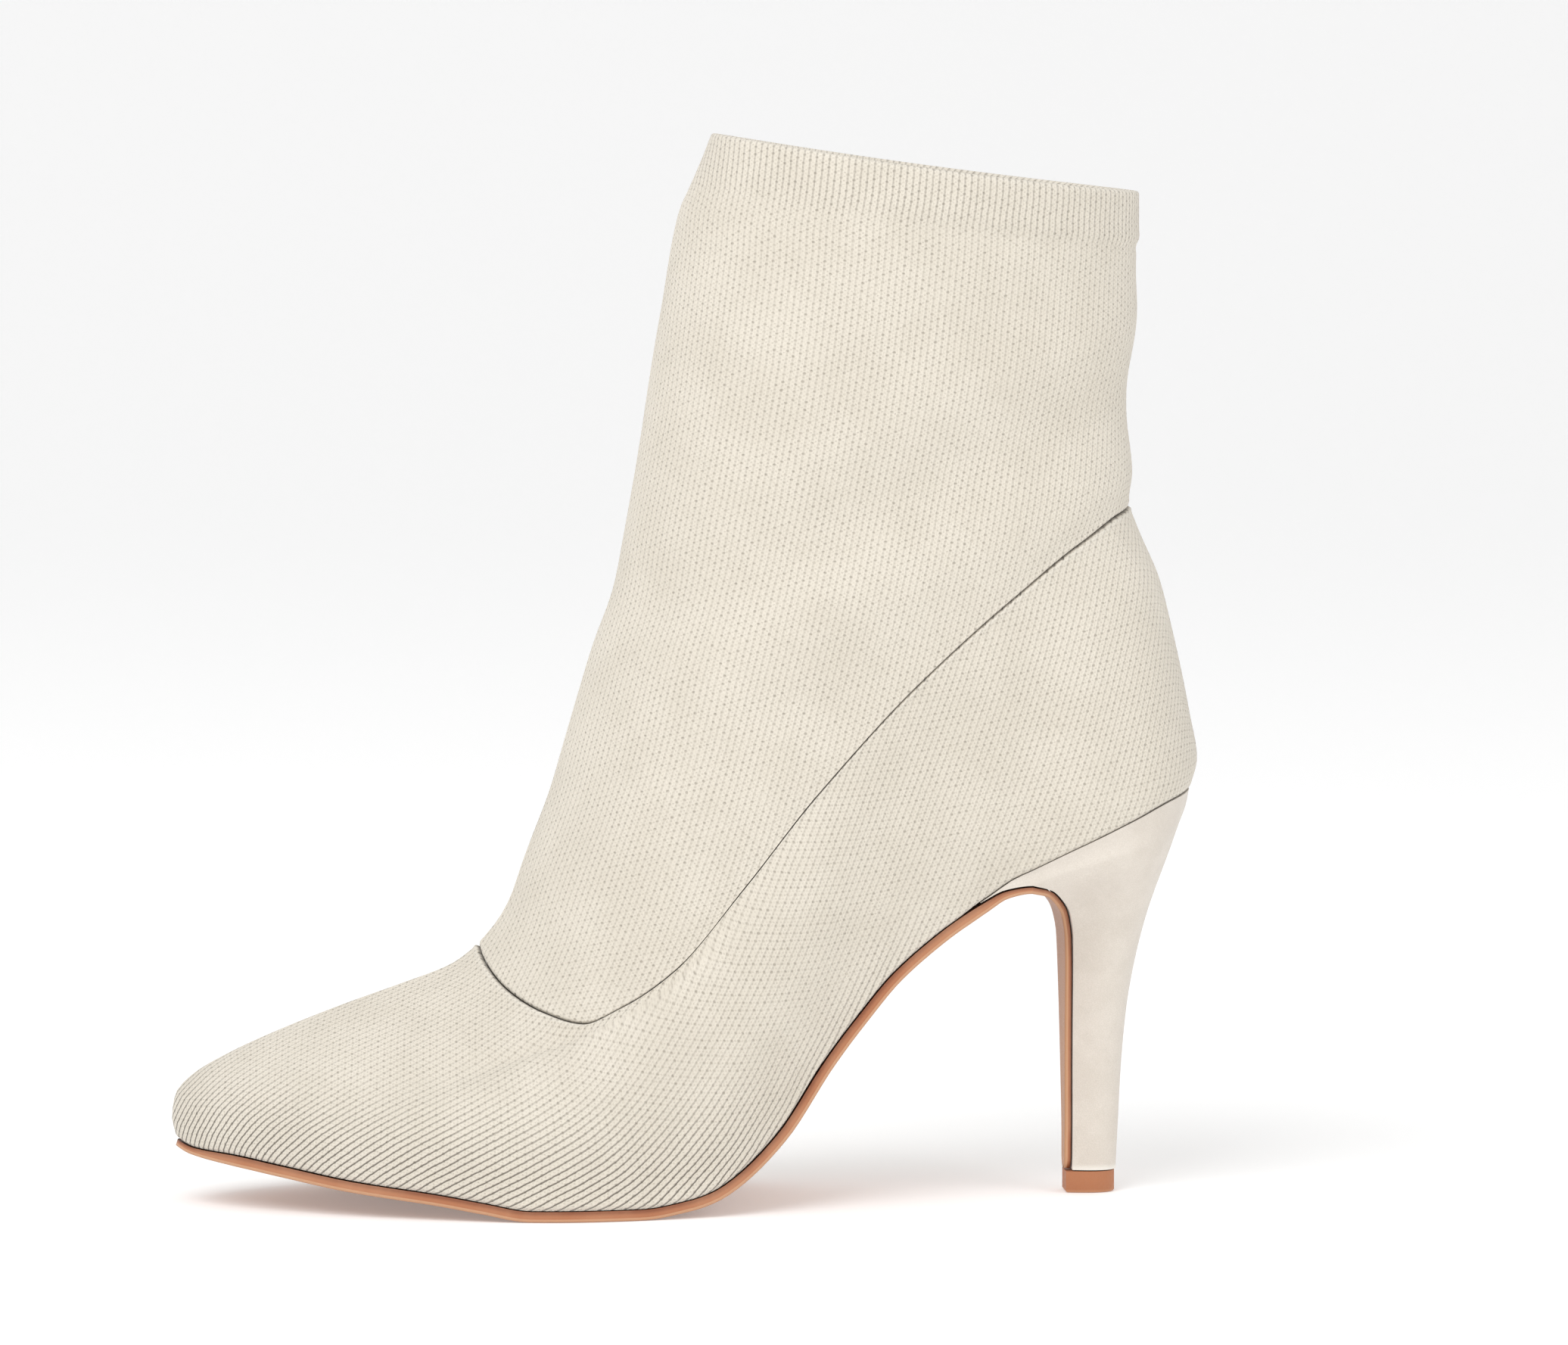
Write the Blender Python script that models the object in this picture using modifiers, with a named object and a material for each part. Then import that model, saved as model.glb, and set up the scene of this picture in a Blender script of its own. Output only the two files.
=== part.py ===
"""Sweater boot: a left sock boot in cream knit on a covered cone heel.

The boot stands empty on its forefoot and its top lift. The toe points to -X and
the outer side faces -Y. The origin is on the floor under the middle of the boot.

Every side view line runs in shares of the boot's named sizes. A place round the
boot is a turn: 0 at the toe, half a turn at the heel, the outer side first.
"""

import bmesh
import bpy
import numpy as np

MM = 0.001

# Lengths and widths
BOOT_LENGTH = 228.6 * MM
BALL_WIDTH = 78.0 * MM
TOE_SWING = 3.0 * MM
BULGE = 2.6 * MM
COLLAR_WIDTH = 54.0 * MM

# Heights above the floor
TOE_SPRING = 11.4 * MM
THROAT_HEIGHT = 57.0 * MM
HEEL_HEIGHT = 90.6 * MM
ANKLE_HEIGHT = 153.9 * MM
BACK_HEIGHT = 223.7 * MM
FRONT_HEIGHT = 236.7 * MM
COLLAR_DIP = 1.0 * MM

# Walls, boards and bands
KNIT_WALL = 1.8 * MM
SOLE_THICKNESS = 2.4 * MM
TOE_THICKNESS = 1.3 * MM
FLAP_THICKNESS = 1.45 * MM
SOLE_BEVEL = 0.5 * MM
INSOLE_THICKNESS = 2.0 * MM
INSOLE_PLAY = 0.5 * MM
CUFF_HEIGHT = 12.0 * MM
CUFF_STEP = 0.6 * MM
CUFF_SLOPE = 1.2 * MM
SEAM_WIDTH = 2.2 * MM
SEAM_DEPTH = 0.5 * MM
LIFT_HEIGHT = 4.8 * MM
LIFT_INSET = 0.3 * MM
HEEL_MARGIN = 0.3 * MM
CLEARANCE = 0.3 * MM

# Shape of the curves
PANEL_LEAN = 1.6
HEEL_BELLY = 0.8
HEEL_ROUND = 2.3
SWING_START = 0.45
CREST_SHARE = 0.2
TOE_TAPER = 0.05
CREST_TAPER = 0.06

# Number of steps in each mesh
COLUMNS = 64
UPPER_RINGS = 14
SHAFT_RINGS = 11
RING_CROWDING = 1.5
CUFF_RINGS = 3
SOLE_STEPS = 30
CREST_STEPS = 9
FLAP_STEPS = 7
FLAP_END_STEPS = 5
HEEL_SIDE_STEPS = 9
LIFT_SIDE_STEPS = 10

# Top face of the sole from the toe to the crest in front of the heel.
# along: share of BOOT_LENGTH. spring: share of TOE_SPRING.
# rise: share of the way from the tread to HEEL_HEIGHT.
SOLE_LINE = (
    ("along", "spring", "rise"),
    (0.0056, 1.000, 0.000),
    (0.0191, 0.910, 0.000),
    (0.0568, 0.842, 0.000),
    (0.1008, 0.703, 0.000),
    (0.1647, 0.488, 0.000),
    (0.2500, 0.280, 0.000),
    (0.2927, 0.140, 0.000),
    (0.3371, 0.000, 0.000),
    (0.4431, 0.000, 0.000),
    (0.4891, 0.000, 0.017),
    (0.5114, 0.000, 0.034),
    (0.5340, 0.000, 0.067),
    (0.5797, 0.000, 0.175),
    (0.6252, 0.000, 0.345),
    (0.6591, 0.000, 0.459),
    (0.6919, 0.000, 0.560),
    (0.7362, 0.000, 0.659),
    (0.7584, 0.000, 0.700),
    (0.7807, 0.000, 0.735),
    (0.8028, 0.000, 0.764),
    (0.8284, 0.000, 0.774),
)

# Lower edge of the knit above the heel cover, where it leaves the sole line.
SEAT_LINE = (
    ("along", "rise"),
    (0.7781, 0.738),
    (0.7881, 0.755),
    (0.8102, 0.794),
    (0.8284, 0.816),
    (0.8465, 0.839),
    (0.8646, 0.862),
    (0.8955, 0.899),
    (0.9280, 0.938),
    (0.9625, 0.978),
    (0.9926, 1.000),
)

# Face of the sole's flap that lies on the breast of the heel.
# drop: share of the way from the crest down to the top lift.
# half: half width of the flap, share of BALL_WIDTH.
BREAST_LINE = (
    ("along", "drop", "half"),
    (0.8466, 0.018, 0.240),
    (0.8592, 0.055, 0.180),
    (0.8682, 0.101, 0.135),
    (0.8717, 0.147, 0.117),
    (0.8736, 0.194, 0.108),
    (0.8747, 0.315, 0.095),
    (0.8753, 0.458, 0.076),
    (0.8761, 0.668, 0.056),
    (0.8768, 0.871, 0.043),
    (0.8768, 1.000, 0.040),
)

# Back of the heel, from the top lift to the seat.
# up: share of the way from the top lift to HEEL_HEIGHT.
HEEL_BACK = (
    ("along", "up"),
    (0.9223, 0.000),
    (0.9245, 0.126),
    (0.9271, 0.268),
    (0.9323, 0.426),
    (0.9398, 0.545),
    (0.9507, 0.664),
    (0.9656, 0.783),
    (0.9813, 0.902),
    (0.9897, 0.961),
    (0.9926, 1.000),
)

# Heel sections: how far each is up the breast line and up the back of the heel.
# seat: how much of the seat's own outline the section has.
HEEL_SECTIONS = (
    ("front", "back", "seat"),
    (0.00, 0.000, 0.00),
    (0.54, 0.545, 0.00),
    (0.66, 0.700, 0.12),
    (0.75, 0.805, 0.32),
    (0.83, 0.880, 0.58),
    (1.00, 1.000, 1.00),
)

# Ridge of the vamp from the toe's lower edge to the throat.
# up: share of the way from the toe's lower edge to THROAT_HEIGHT.
VAMP_RIDGE = (
    ("along", "up"),
    (0.0056, 0.000),
    (0.0000, 0.111),
    (0.0031, 0.229),
    (0.0206, 0.339),
    (0.0569, 0.452),
    (0.1045, 0.567),
    (0.1610, 0.683),
    (0.2213, 0.797),
    (0.2720, 0.900),
    (0.2979, 1.000),
)

# Front of the shaft from the throat to the collar.
# up: share of the way from THROAT_HEIGHT to FRONT_HEIGHT.
SHAFT_FRONT = (
    ("along", "up"),
    (0.2979, 0.000),
    (0.3202, 0.036),
    (0.3320, 0.064),
    (0.3469, 0.120),
    (0.3762, 0.232),
    (0.4029, 0.344),
    (0.4304, 0.456),
    (0.4488, 0.568),
    (0.4628, 0.680),
    (0.4777, 0.792),
    (0.4939, 0.903),
    (0.5155, 0.959),
    (0.5284, 1.000),
)

# Back of the knit from the heel seat to the ankle seam.
# up: share of the way from the seat to ANKLE_HEIGHT.
QUARTER_BACK = (
    ("along", "up"),
    (0.9926, 0.000),
    (1.0000, 0.103),
    (0.9926, 0.265),
    (0.9838, 0.427),
    (0.9733, 0.589),
    (0.9606, 0.749),
    (0.9418, 0.911),
    (0.9322, 1.000),
)

# Back of the shaft from the ankle seam to the collar.
# up: share of the way from ANKLE_HEIGHT to BACK_HEIGHT.
SHAFT_BACK = (
    ("along", "up"),
    (0.9322, 0.000),
    (0.9312, 0.100),
    (0.9320, 0.230),
    (0.9348, 0.355),
    (0.9388, 0.645),
    (0.9394, 1.000),
)

# Seam between the lower panel and the shaft, dipping over the vamp.
# turn: share of half a turn from toe to heel.
# up: share of the way from THROAT_HEIGHT to ANKLE_HEIGHT.
SEAM_LINE = (
    ("turn", "up"),
    (0.000, 0.000),
    (0.060, -0.039),
    (0.125, -0.088),
    (0.190, -0.128),
    (0.250, -0.150),
    (0.300, -0.110),
    (0.360, -0.024),
    (0.430, 0.160),
    (0.500, 0.364),
    (0.600, 0.610),
    (0.700, 0.792),
    (0.800, 0.918),
    (0.900, 0.983),
    (1.000, 1.000),
)

# Half widths round the boot, each the half width of the oval that it lies on.
# turn: share of half a turn from toe to heel. The rest: shares of BALL_WIDTH.
WIDTHS = (
    ("turn", "outer_tread", "inner_tread", "seam"),
    (0.0, 0.346, 0.346, 0.500),
    (0.1, 0.391, 0.404, 0.522),
    (0.2, 0.445, 0.472, 0.530),
    (0.3, 0.505, 0.505, 0.490),
    (0.4, 0.532, 0.474, 0.430),
    (0.5, 0.455, 0.353, 0.395),
    (0.6, 0.321, 0.256, 0.388),
    (0.7, 0.346, 0.327, 0.405),
    (0.8, 0.500, 0.494, 0.440),
    (0.9, 0.650, 0.650, 0.480),
    (1.0, 0.692, 0.692, 0.494),
)


def column(table, name):
    """One named column of a table, as an array."""
    return np.array([row[table[0].index(name)] for row in table[1:]])


def through(places, values, at):
    """A smooth curve through the rows that never overshoots them, read at the places given."""
    places = np.asarray(places, float)
    values = np.asarray(values, float)
    at = np.asarray(at, float)
    step = np.diff(places)
    slope = np.diff(values) / step
    before, after = slope[:-1], slope[1:]
    same_way = before * after > 0
    total = np.where(same_way, before + after, 1.0)
    inside = np.where(same_way, 2 * before * after / total, 0.0)
    lean = np.concatenate([slope[:1], inside, slope[-1:]])
    i = np.clip(np.searchsorted(places, at, side="right") - 1, 0, len(step) - 1)
    u = (at - places[i]) / step[i]
    hold = values[i] * (1 + 2 * u) * (1 - u) ** 2 + values[i + 1] * (3 - 2 * u) * u**2
    bend = lean[i] * u * (1 - u) ** 2 + lean[i + 1] * (u - 1) * u**2
    return hold + step[i] * bend


def run_share(points):
    """Share of the way run along a line of points, 0 at its first and 1 at its last."""
    legs = np.linalg.norm(np.diff(points, axis=0), axis=1)
    run = np.concatenate([[0.0], np.cumsum(legs)])
    return run / run[-1]


def along_line(points, share):
    """The point at each share of the way along a smooth line through the points given."""
    places = run_share(points)
    sides = [through(places, points[:, side], share) for side in range(points.shape[1])]
    return np.stack(sides, axis=-1)


def side_line(table, low, high, rise="up"):
    """A table's line in the side view, between two heights above the floor."""
    x = (column(table, "along") - 0.5) * BOOT_LENGTH
    return np.stack([x, low + (high - low) * column(table, rise)], axis=-1)


def side_normals(points):
    """Unit normals of a side view line, to the right of its way from toe to heel."""
    way = np.gradient(points, axis=0)
    way = way / np.linalg.norm(way, axis=1, keepdims=True)
    return np.stack([way[:, 1], -way[:, 0]], axis=-1)


TOE_EDGE = SOLE_THICKNESS + TOE_SPRING
LIFT_TOP = LIFT_HEIGHT + CLEARANCE
VAMP = side_line(VAMP_RIDGE, TOE_EDGE, THROAT_HEIGHT)
FRONT = side_line(SHAFT_FRONT, THROAT_HEIGHT, FRONT_HEIGHT)
QUARTER = side_line(QUARTER_BACK, HEEL_HEIGHT, ANKLE_HEIGHT)
BACK = side_line(SHAFT_BACK, ANKLE_HEIGHT, BACK_HEIGHT)
SEAT = side_line(SEAT_LINE, SOLE_THICKNESS, HEEL_HEIGHT, "rise")
HEEL_REAR = side_line(HEEL_BACK, LIFT_TOP, HEEL_HEIGHT)
SOLE = side_line(SOLE_LINE, SOLE_THICKNESS, HEEL_HEIGHT, "rise")
SOLE[:, 1] += TOE_SPRING * column(SOLE_LINE, "spring")
CREST = SOLE[-1]
BREAST = np.vstack([CREST, side_line(BREAST_LINE, CREST[1], LIFT_TOP, "drop")])
TOE_X = SOLE[0, 0]
SEAT_X = SEAT[-1, 0]


def sole_height(x):
    """Height of the sole's top face, from the toe to the crest."""
    rows = np.vstack([SOLE, BREAST[1]])
    return through(rows[:, 0], rows[:, 1], x)


def feather_height(x):
    """Height of the line that the knit's lower edge follows: the sole line, then the heel seat."""
    on_sole = SOLE[SOLE[:, 0] < SEAT[0, 0]]
    rows = np.vstack([on_sole, SEAT])
    return through(rows[:, 0], rows[:, 1], x)


def half_turn(turn):
    """A turn round the boot folded to 0 at the toe and 1 at the heel, on either side."""
    return 1 - np.abs(1 - turn / np.pi)


def width_round(turn, outer, inner):
    """Half width of the oval at each turn, from the outer or the inner column."""
    folded = half_turn(turn)
    places = column(WIDTHS, "turn")
    on_outer = through(places, column(WIDTHS, outer), folded)
    on_inner = through(places, column(WIDTHS, inner), folded)
    return BALL_WIDTH * np.where(turn <= np.pi, on_outer, on_inner)


def swing(x):
    """How far the boot's middle bends to the inner side, growing from the ball to the toe."""
    share = np.clip(1 - (x / BOOT_LENGTH + 0.5) / SWING_START, 0, 1)
    return TOE_SWING * share**2


def tread_half(x, outer):
    """Half width of the tread at x, on the outer or the inner side."""
    share = np.clip((x - TOE_X) / (SEAT_X - TOE_X), 0, 1)
    turn = np.arccos(1 - 2 * share)
    turn = turn if outer else 2 * np.pi - turn
    return width_round(turn, "outer_tread", "inner_tread") * np.abs(np.sin(turn))


def feather_line(turn):
    """Side view of the line that the knit's lower edge follows, with turns spread like a circle's."""
    x = TOE_X + (SEAT_X - TOE_X) * (1 - np.cos(turn)) / 2
    return np.stack([x, feather_height(x)], axis=-1)


def seam_line(turn):
    """The seam between the lower panel and the shaft in the side view."""
    x = VAMP[-1, 0] + (QUARTER[-1, 0] - VAMP[-1, 0]) * (1 - np.cos(turn)) / 2
    up = through(column(SEAM_LINE, "turn"), column(SEAM_LINE, "up"), half_turn(turn))
    return np.stack([x, THROAT_HEIGHT + (ANKLE_HEIGHT - THROAT_HEIGHT) * up], axis=-1)


def collar_line(turn):
    """The collar in the side view, sagging a little between its front and its back."""
    share = (1 - np.cos(turn)) / 2
    dip = np.stack([0 * share, COLLAR_DIP * 4 * share * (1 - share)], axis=-1)
    return FRONT[-1] * (1 - share[:, None]) + BACK[-1] * share[:, None] - dip


def side_patch(turn, share, low, high, front, back, lean):
    """Side view places between a low and a high line, bent to a front and a back line.

    Each point lies a share of the way from the low line to the high one, later along
    the boot than up it where the lean is over 1. To that the front line's own bend is
    added in full at the toe end, fading to nothing at the heel, and the back line's
    the other way round.
    """
    share_2d = np.stack([share**lean, share], axis=-1)
    middle = low * (1 - share_2d) + high * share_2d
    front_bend = along_line(front, share) - (front[0] * (1 - share_2d) + front[-1] * share_2d)
    back_bend = along_line(back, share) - (back[0] * (1 - share_2d) + back[-1] * share_2d)
    to_back = ((1 - np.cos(turn)) / 2)[:, None]
    return middle + (1 - to_back) * front_bend + to_back * back_bend


def in_space(side, turn, half):
    """Side view places and half widths as points: each ring is an oval with its own bend."""
    y = swing(side[..., 0]) - half * np.sin(turn)
    return np.stack([side[..., 0], y, side[..., 1]], axis=-1)


def upper_surface(turn, share):
    """Outer face of the lower panel: share 0 at the sole, 1 at the seam.

    It is fullest by BULGE a third of the way up.
    """
    low, high = feather_line(turn), seam_line(turn)
    side = side_patch(turn, share, low, high, VAMP, QUARTER, PANEL_LEAN)
    tread = width_round(turn, "outer_tread", "inner_tread")
    seam = width_round(turn, "seam", "seam")
    full = BULGE * 27 / 4 * share * (1 - share) ** 2
    return in_space(side, turn, tread * (1 - share) + seam * share + full)


def shaft_surface(turn, share):
    """Outer face of the shaft: share 0 at the seam, 1 at the collar."""
    side = side_patch(turn, share, seam_line(turn), collar_line(turn), FRONT, BACK, 1.0)
    seam = width_round(turn, "seam", "seam")
    return in_space(side, turn, seam * (1 - share) + COLLAR_WIDTH / 2 * share)


def heights_of(surface, turn):
    """Length of each upright line of a surface, from its low to its high edge."""
    shares = np.linspace(0, 1, 25)[:, None] * np.ones_like(turn)
    legs = np.diff(surface(turn, shares), axis=0)
    return np.linalg.norm(legs, axis=2).sum(axis=0)


def grid_normals(points):
    """Unit normals of a closed grid of rings, pointing out of the boot."""
    around = np.roll(points, -1, axis=1) - np.roll(points, 1, axis=1)
    normals = np.cross(around, np.gradient(points, axis=0))
    return normals / np.linalg.norm(normals, axis=2, keepdims=True)


def ring_faces(rings, columns):
    """Quads between neighbouring rings of a grid that closes on itself."""
    ring, place = np.meshgrid(np.arange(rings - 1), np.arange(columns), indexing="ij")
    beside = (place + 1) % columns
    corners = (
        ring * columns + place,
        ring * columns + beside,
        (ring + 1) * columns + beside,
        (ring + 1) * columns + place,
    )
    return np.stack(corners, axis=-1).reshape(-1, 4)


def cap_faces(columns, first, turned):
    """Strips across a ring, from each point on one side to its partner on the other."""
    step = np.arange(columns // 2 - 1)
    corners = (step, step + 1, columns - 2 - step, columns - 1 - step)
    faces = first + np.stack(corners, axis=-1)
    return faces[:, ::-1] if turned else faces


def add_material(name, colour, roughness):
    """A plain Principled material."""
    material = bpy.data.materials.new(name)
    material.use_nodes = True
    shader = material.node_tree.nodes["Principled BSDF"]
    shader.inputs["Base Color"].default_value = (*colour, 1.0)
    shader.inputs["Roughness"].default_value = roughness
    shader.inputs["Metallic"].default_value = 0.0
    return material


def add_object(name, points, faces, material, closed):
    """A smooth mesh object in the boot's collection, placed by the boot's empty."""
    mesh = bpy.data.meshes.new(name)
    mesh.from_pydata(points.reshape(-1, 3).tolist(), [], faces.tolist())
    if closed:
        shape = bmesh.new()
        shape.from_mesh(mesh)
        bmesh.ops.remove_doubles(shape, verts=shape.verts, dist=1e-6)
        bmesh.ops.recalc_face_normals(shape, faces=shape.faces)
        shape.to_mesh(mesh)
        shape.free()
    mesh.shade_smooth()
    mesh.set_sharp_from_angle(angle=np.radians(40))
    mesh.materials.append(material)
    part = bpy.data.objects.new(name, mesh)
    bpy.data.collections["Sweater boot"].objects.link(part)
    part.parent = bpy.data.objects["boot_middle"]
    return part


def add_knit(name, points, material):
    """A knit panel: an open grid of rings that Solidify gives its wall, inwards."""
    part = add_object(name, points, ring_faces(*points.shape[:2]), material, closed=False)
    wall = part.modifiers.new("Wall", "SOLIDIFY")
    wall.thickness = KNIT_WALL
    wall.offset = -1
    wall.use_quality_normals = True
    return part


def add_loft(name, rings, material):
    """A closed solid through rings of points, with strips across its first and last ring."""
    count, columns = rings.shape[:2]
    faces = np.vstack(
        [
            ring_faces(count, columns),
            cap_faces(columns, 0, turned=True),
            cap_faces(columns, (count - 1) * columns, turned=False),
        ]
    )
    return add_object(name, rings, faces, material, closed=True)


def upper_points():
    """Rings of the lower panel, its top edge rolled in at the seam, its low edge clear of the sole."""
    turn = np.linspace(0, 2 * np.pi, COLUMNS, endpoint=False)
    height = heights_of(upper_surface, turn)
    before_seam = 1 - SEAM_WIDTH / height
    edge = 1 - CLEARANCE / 2 / height
    steps = np.linspace(0, 1, UPPER_RINGS)[:, None] * before_seam
    points = upper_surface(turn, np.vstack([steps, edge]))
    normals = grid_normals(points)
    points[-1] -= normals[-1] * SEAM_DEPTH
    lift = side_normals(feather_line(turn[: COLUMNS // 2 + 1])) * CLEARANCE
    lift = np.vstack([lift, lift[COLUMNS // 2 - 1 : 0 : -1]])
    fade = (1 - np.vstack([steps, edge])) ** 4
    points[..., 0] -= lift[:, 0] * fade
    points[..., 2] -= lift[:, 1] * fade
    return points


def shaft_points():
    """Rings of the shaft: rolled in at the seam, stepped out at the cuff."""
    turn = np.linspace(0, 2 * np.pi, COLUMNS, endpoint=False)
    height = heights_of(shaft_surface, turn)
    edge = CLEARANCE / 2 / height
    past_seam = SEAM_WIDTH / height
    hem = 1 - CUFF_HEIGHT / height
    over_hem = hem + CUFF_SLOPE / height
    up_shaft = np.linspace(0, 1, SHAFT_RINGS + 1)[:, None] ** RING_CROWDING
    up_cuff = np.linspace(0, 1, CUFF_RINGS)[:, None]
    body = past_seam + (hem - past_seam) * up_shaft
    cuff = over_hem + (1 - over_hem) * up_cuff
    points = shaft_surface(turn, np.vstack([edge, body, cuff]))
    normals = grid_normals(points)
    points[0] -= normals[0] * SEAM_DEPTH
    points[-CUFF_RINGS:] += normals[-CUFF_RINGS:] * CUFF_STEP
    return points


def sole_stations():
    """Side view line of the sole's top face down to the flap's end, with both half widths."""
    crest_turn = np.arccos(1 - 2 * (CREST[0] - TOE_X) / (SEAT_X - TOE_X))
    x = feather_line(np.linspace(0, crest_turn, SOLE_STEPS))[:, 0]
    flat = SOLE[np.isclose(SOLE[:, 1], SOLE_THICKNESS), 0]
    x = np.unique(np.concatenate([x[:-1], flat, SEAT[:1, 0], CREST[:1]]))
    sole = np.stack([x, sole_height(x)], axis=-1)
    outer = tread_half(x, True)
    inner = tread_half(x, False)
    end_half = BALL_WIDTH * BREAST_LINE[-1][2]
    length = np.linalg.norm(np.diff(BREAST, axis=0), axis=1).sum()
    round_start = 1 - end_half / length
    over_crest = np.linspace(0, CREST_SHARE, CREST_STEPS)[1:]
    down_flap = np.linspace(CREST_SHARE, round_start, FLAP_STEPS)[1:]
    round_end = np.sin(np.linspace(0, np.pi / 2, FLAP_END_STEPS))[1:]
    share = np.concatenate([over_crest, down_flap, round_start + (1 - round_start) * round_end])
    flap = along_line(BREAST, share)
    closing = np.clip((share - round_start) / (1 - round_start), 0, 1)
    end = np.sqrt(np.clip(1 - closing**2, 0, 1))
    places = run_share(BREAST)
    halves = column(BREAST_LINE, "half") * BALL_WIDTH
    flap_outer = through(places, np.append(outer[-1], halves), share) * end
    flap_inner = through(places, np.append(inner[-1], halves), share) * end
    line = np.vstack([sole, flap])
    return line, np.append(outer, flap_outer), np.append(inner, flap_inner)


def slab_rings(line, outer, inner, low, high, bevel):
    """Rings across a board whose line runs from toe to heel: six points, bevelled below.

    low and high are how far each face lies below the line, square to it.
    """
    normals = side_normals(line)
    middle = swing(line[:, 0])
    bevel_out = np.minimum(bevel, outer)
    bevel_in = np.minimum(bevel, inner)
    edges = (
        (-outer, high),
        (-outer, low - bevel),
        (-outer + bevel_out, low),
        (inner - bevel_in, low),
        (inner, low - bevel),
        (inner, high),
    )
    rings = []
    for across, depth in edges:
        place = line + normals * np.reshape(depth, (-1, 1))
        rings.append(np.stack([place[:, 0], middle + across, place[:, 1]], axis=-1))
    return np.stack(rings, axis=1)


def outsole_rings():
    """Sole from the toe over the crest to the flap's round end, thinner at the toe and the flap."""
    line, outer, inner = sole_stations()
    share = run_share(line)
    crest = share[np.argmin(np.linalg.norm(line - CREST, axis=1))]
    places = (0, TOE_TAPER, crest - CREST_TAPER, crest, 1)
    whole, flap = SOLE_THICKNESS, FLAP_THICKNESS
    depth = through(places, (TOE_THICKNESS, whole, whole, flap, flap), share)
    return slab_rings(line, outer, inner, depth, np.zeros_like(depth), SOLE_BEVEL)


def insole_rings():
    """Insole inside the knit wall, from the toe to the heel, lying on the sole and the seat."""
    inset = KNIT_WALL + INSOLE_PLAY
    turn = np.linspace(0, np.pi, COLUMNS // 2 + 1)
    fit = 1 - 2 * inset / (SEAT_X - TOE_X)
    middle_x = (SEAT_X + TOE_X) / 2
    x = middle_x + (feather_line(turn)[:, 0] - middle_x) * fit
    line = np.stack([x, feather_height(x)], axis=-1)
    from_end = np.minimum(turn, np.pi - turn)
    across = inset * np.sin(np.minimum(4 * from_end, np.pi / 2))
    outer = tread_half(feather_line(turn)[:, 0], True) - across
    inner = tread_half(feather_line(turn)[:, 0], False) - across
    low = np.full(len(x), -CLEARANCE)
    return slab_rings(line, outer, inner, low, low - INSOLE_THICKNESS, 0.0)


def heel_front():
    """Side view line and half widths of the heel's front, from its foot to the wedge tip."""
    line, outer, inner = sole_stations()
    first = np.argmin(np.abs(line[:, 0] - SEAT[0, 0]))
    last = len(line) - FLAP_END_STEPS
    keep = slice(last, first - 1, -1)
    off_sole = line - side_normals(line) * CLEARANCE
    return off_sole[keep], outer[keep], inner[keep]


def heel_round(share, belly):
    """Half width of a section that is flat in front and round behind, as a share of its front's.

    The square root of one minus the share of the way back to a power, widened by the
    belly on the way.
    """
    closing = np.sqrt(np.clip(1 - share**HEEL_ROUND, 0, 1))
    return closing * (1 + HEEL_BELLY * share * belly)


def heel_rings():
    """Sections of the covered heel, fanning from its level foot to the sloping seat.

    Each section is flat in front and round behind, and turns into the tread's own
    outline near the seat.
    """
    line, outer, inner = heel_front()
    foot = along_line(BREAST, np.array([1.0]))[0]
    foot = np.array([foot[0] + CLEARANCE, LIFT_TOP])
    line = np.vstack([foot, line])
    outer = np.append(outer[0], outer)
    inner = np.append(inner[0], inner)
    share = run_share(line)
    back = through(column(HEEL_SECTIONS, "front"), column(HEEL_SECTIONS, "back"), share)
    seat = through(column(HEEL_SECTIONS, "front"), column(HEEL_SECTIONS, "seat"), share)
    rear = np.stack(
        [
            through(HEEL_REAR[:, 1], HEEL_REAR[:, 0], LIFT_TOP + (HEEL_HEIGHT - LIFT_TOP) * back),
            LIFT_TOP + (HEEL_HEIGHT - LIFT_TOP) * back,
        ],
        axis=-1,
    )
    back_share = np.sin(np.linspace(0, np.pi / 2, HEEL_SIDE_STEPS))
    rings = []
    for way, half, on_outer in ((1, outer, True), (-1, inner, False)):
        side = []
        for step in back_share:
            straight = line * (1 - step) + rear * step
            seat_x = line[-1, 0] + (SEAT_X - line[-1, 0]) * step
            on_seat = np.array([seat_x, feather_height(seat_x)])
            drop = on_seat - (line[-1] * (1 - step) + rear[-1] * step)
            place = straight + drop * (seat**2)[:, None]
            round_back = (half + HEEL_MARGIN * (1 - seat)) * heel_round(step, 1 - seat)
            tread = tread_half(np.full(len(line), seat_x), on_outer)
            wide = round_back * (1 - seat) + tread * seat
            y = swing(place[:, 0]) - way * wide
            side.append(np.stack([place[:, 0], y, place[:, 1]], axis=-1))
        rings.append(side if way == 1 else side[::-1])
    return np.stack(rings[0] + rings[1], axis=1)


def lift_rings():
    """Top lift: flat in front, round behind, upright from the floor to the heel's foot."""
    front = BREAST[-1, 0] - FLAP_THICKNESS + LIFT_INSET
    rear = HEEL_REAR[0, 0] - LIFT_INSET
    half = BALL_WIDTH * BREAST_LINE[-1][2] + HEEL_MARGIN
    share = np.sin(np.linspace(0, np.pi / 2, LIFT_SIDE_STEPS))
    x = front + (rear - front) * share
    y = half * heel_round(share, 1)
    outline = np.concatenate([np.stack([x, -y], -1), np.stack([x, y], -1)[::-1]])
    levels = [np.column_stack([outline, np.full(len(outline), z)]) for z in (0, LIFT_HEIGHT)]
    return np.stack(levels)


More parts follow.
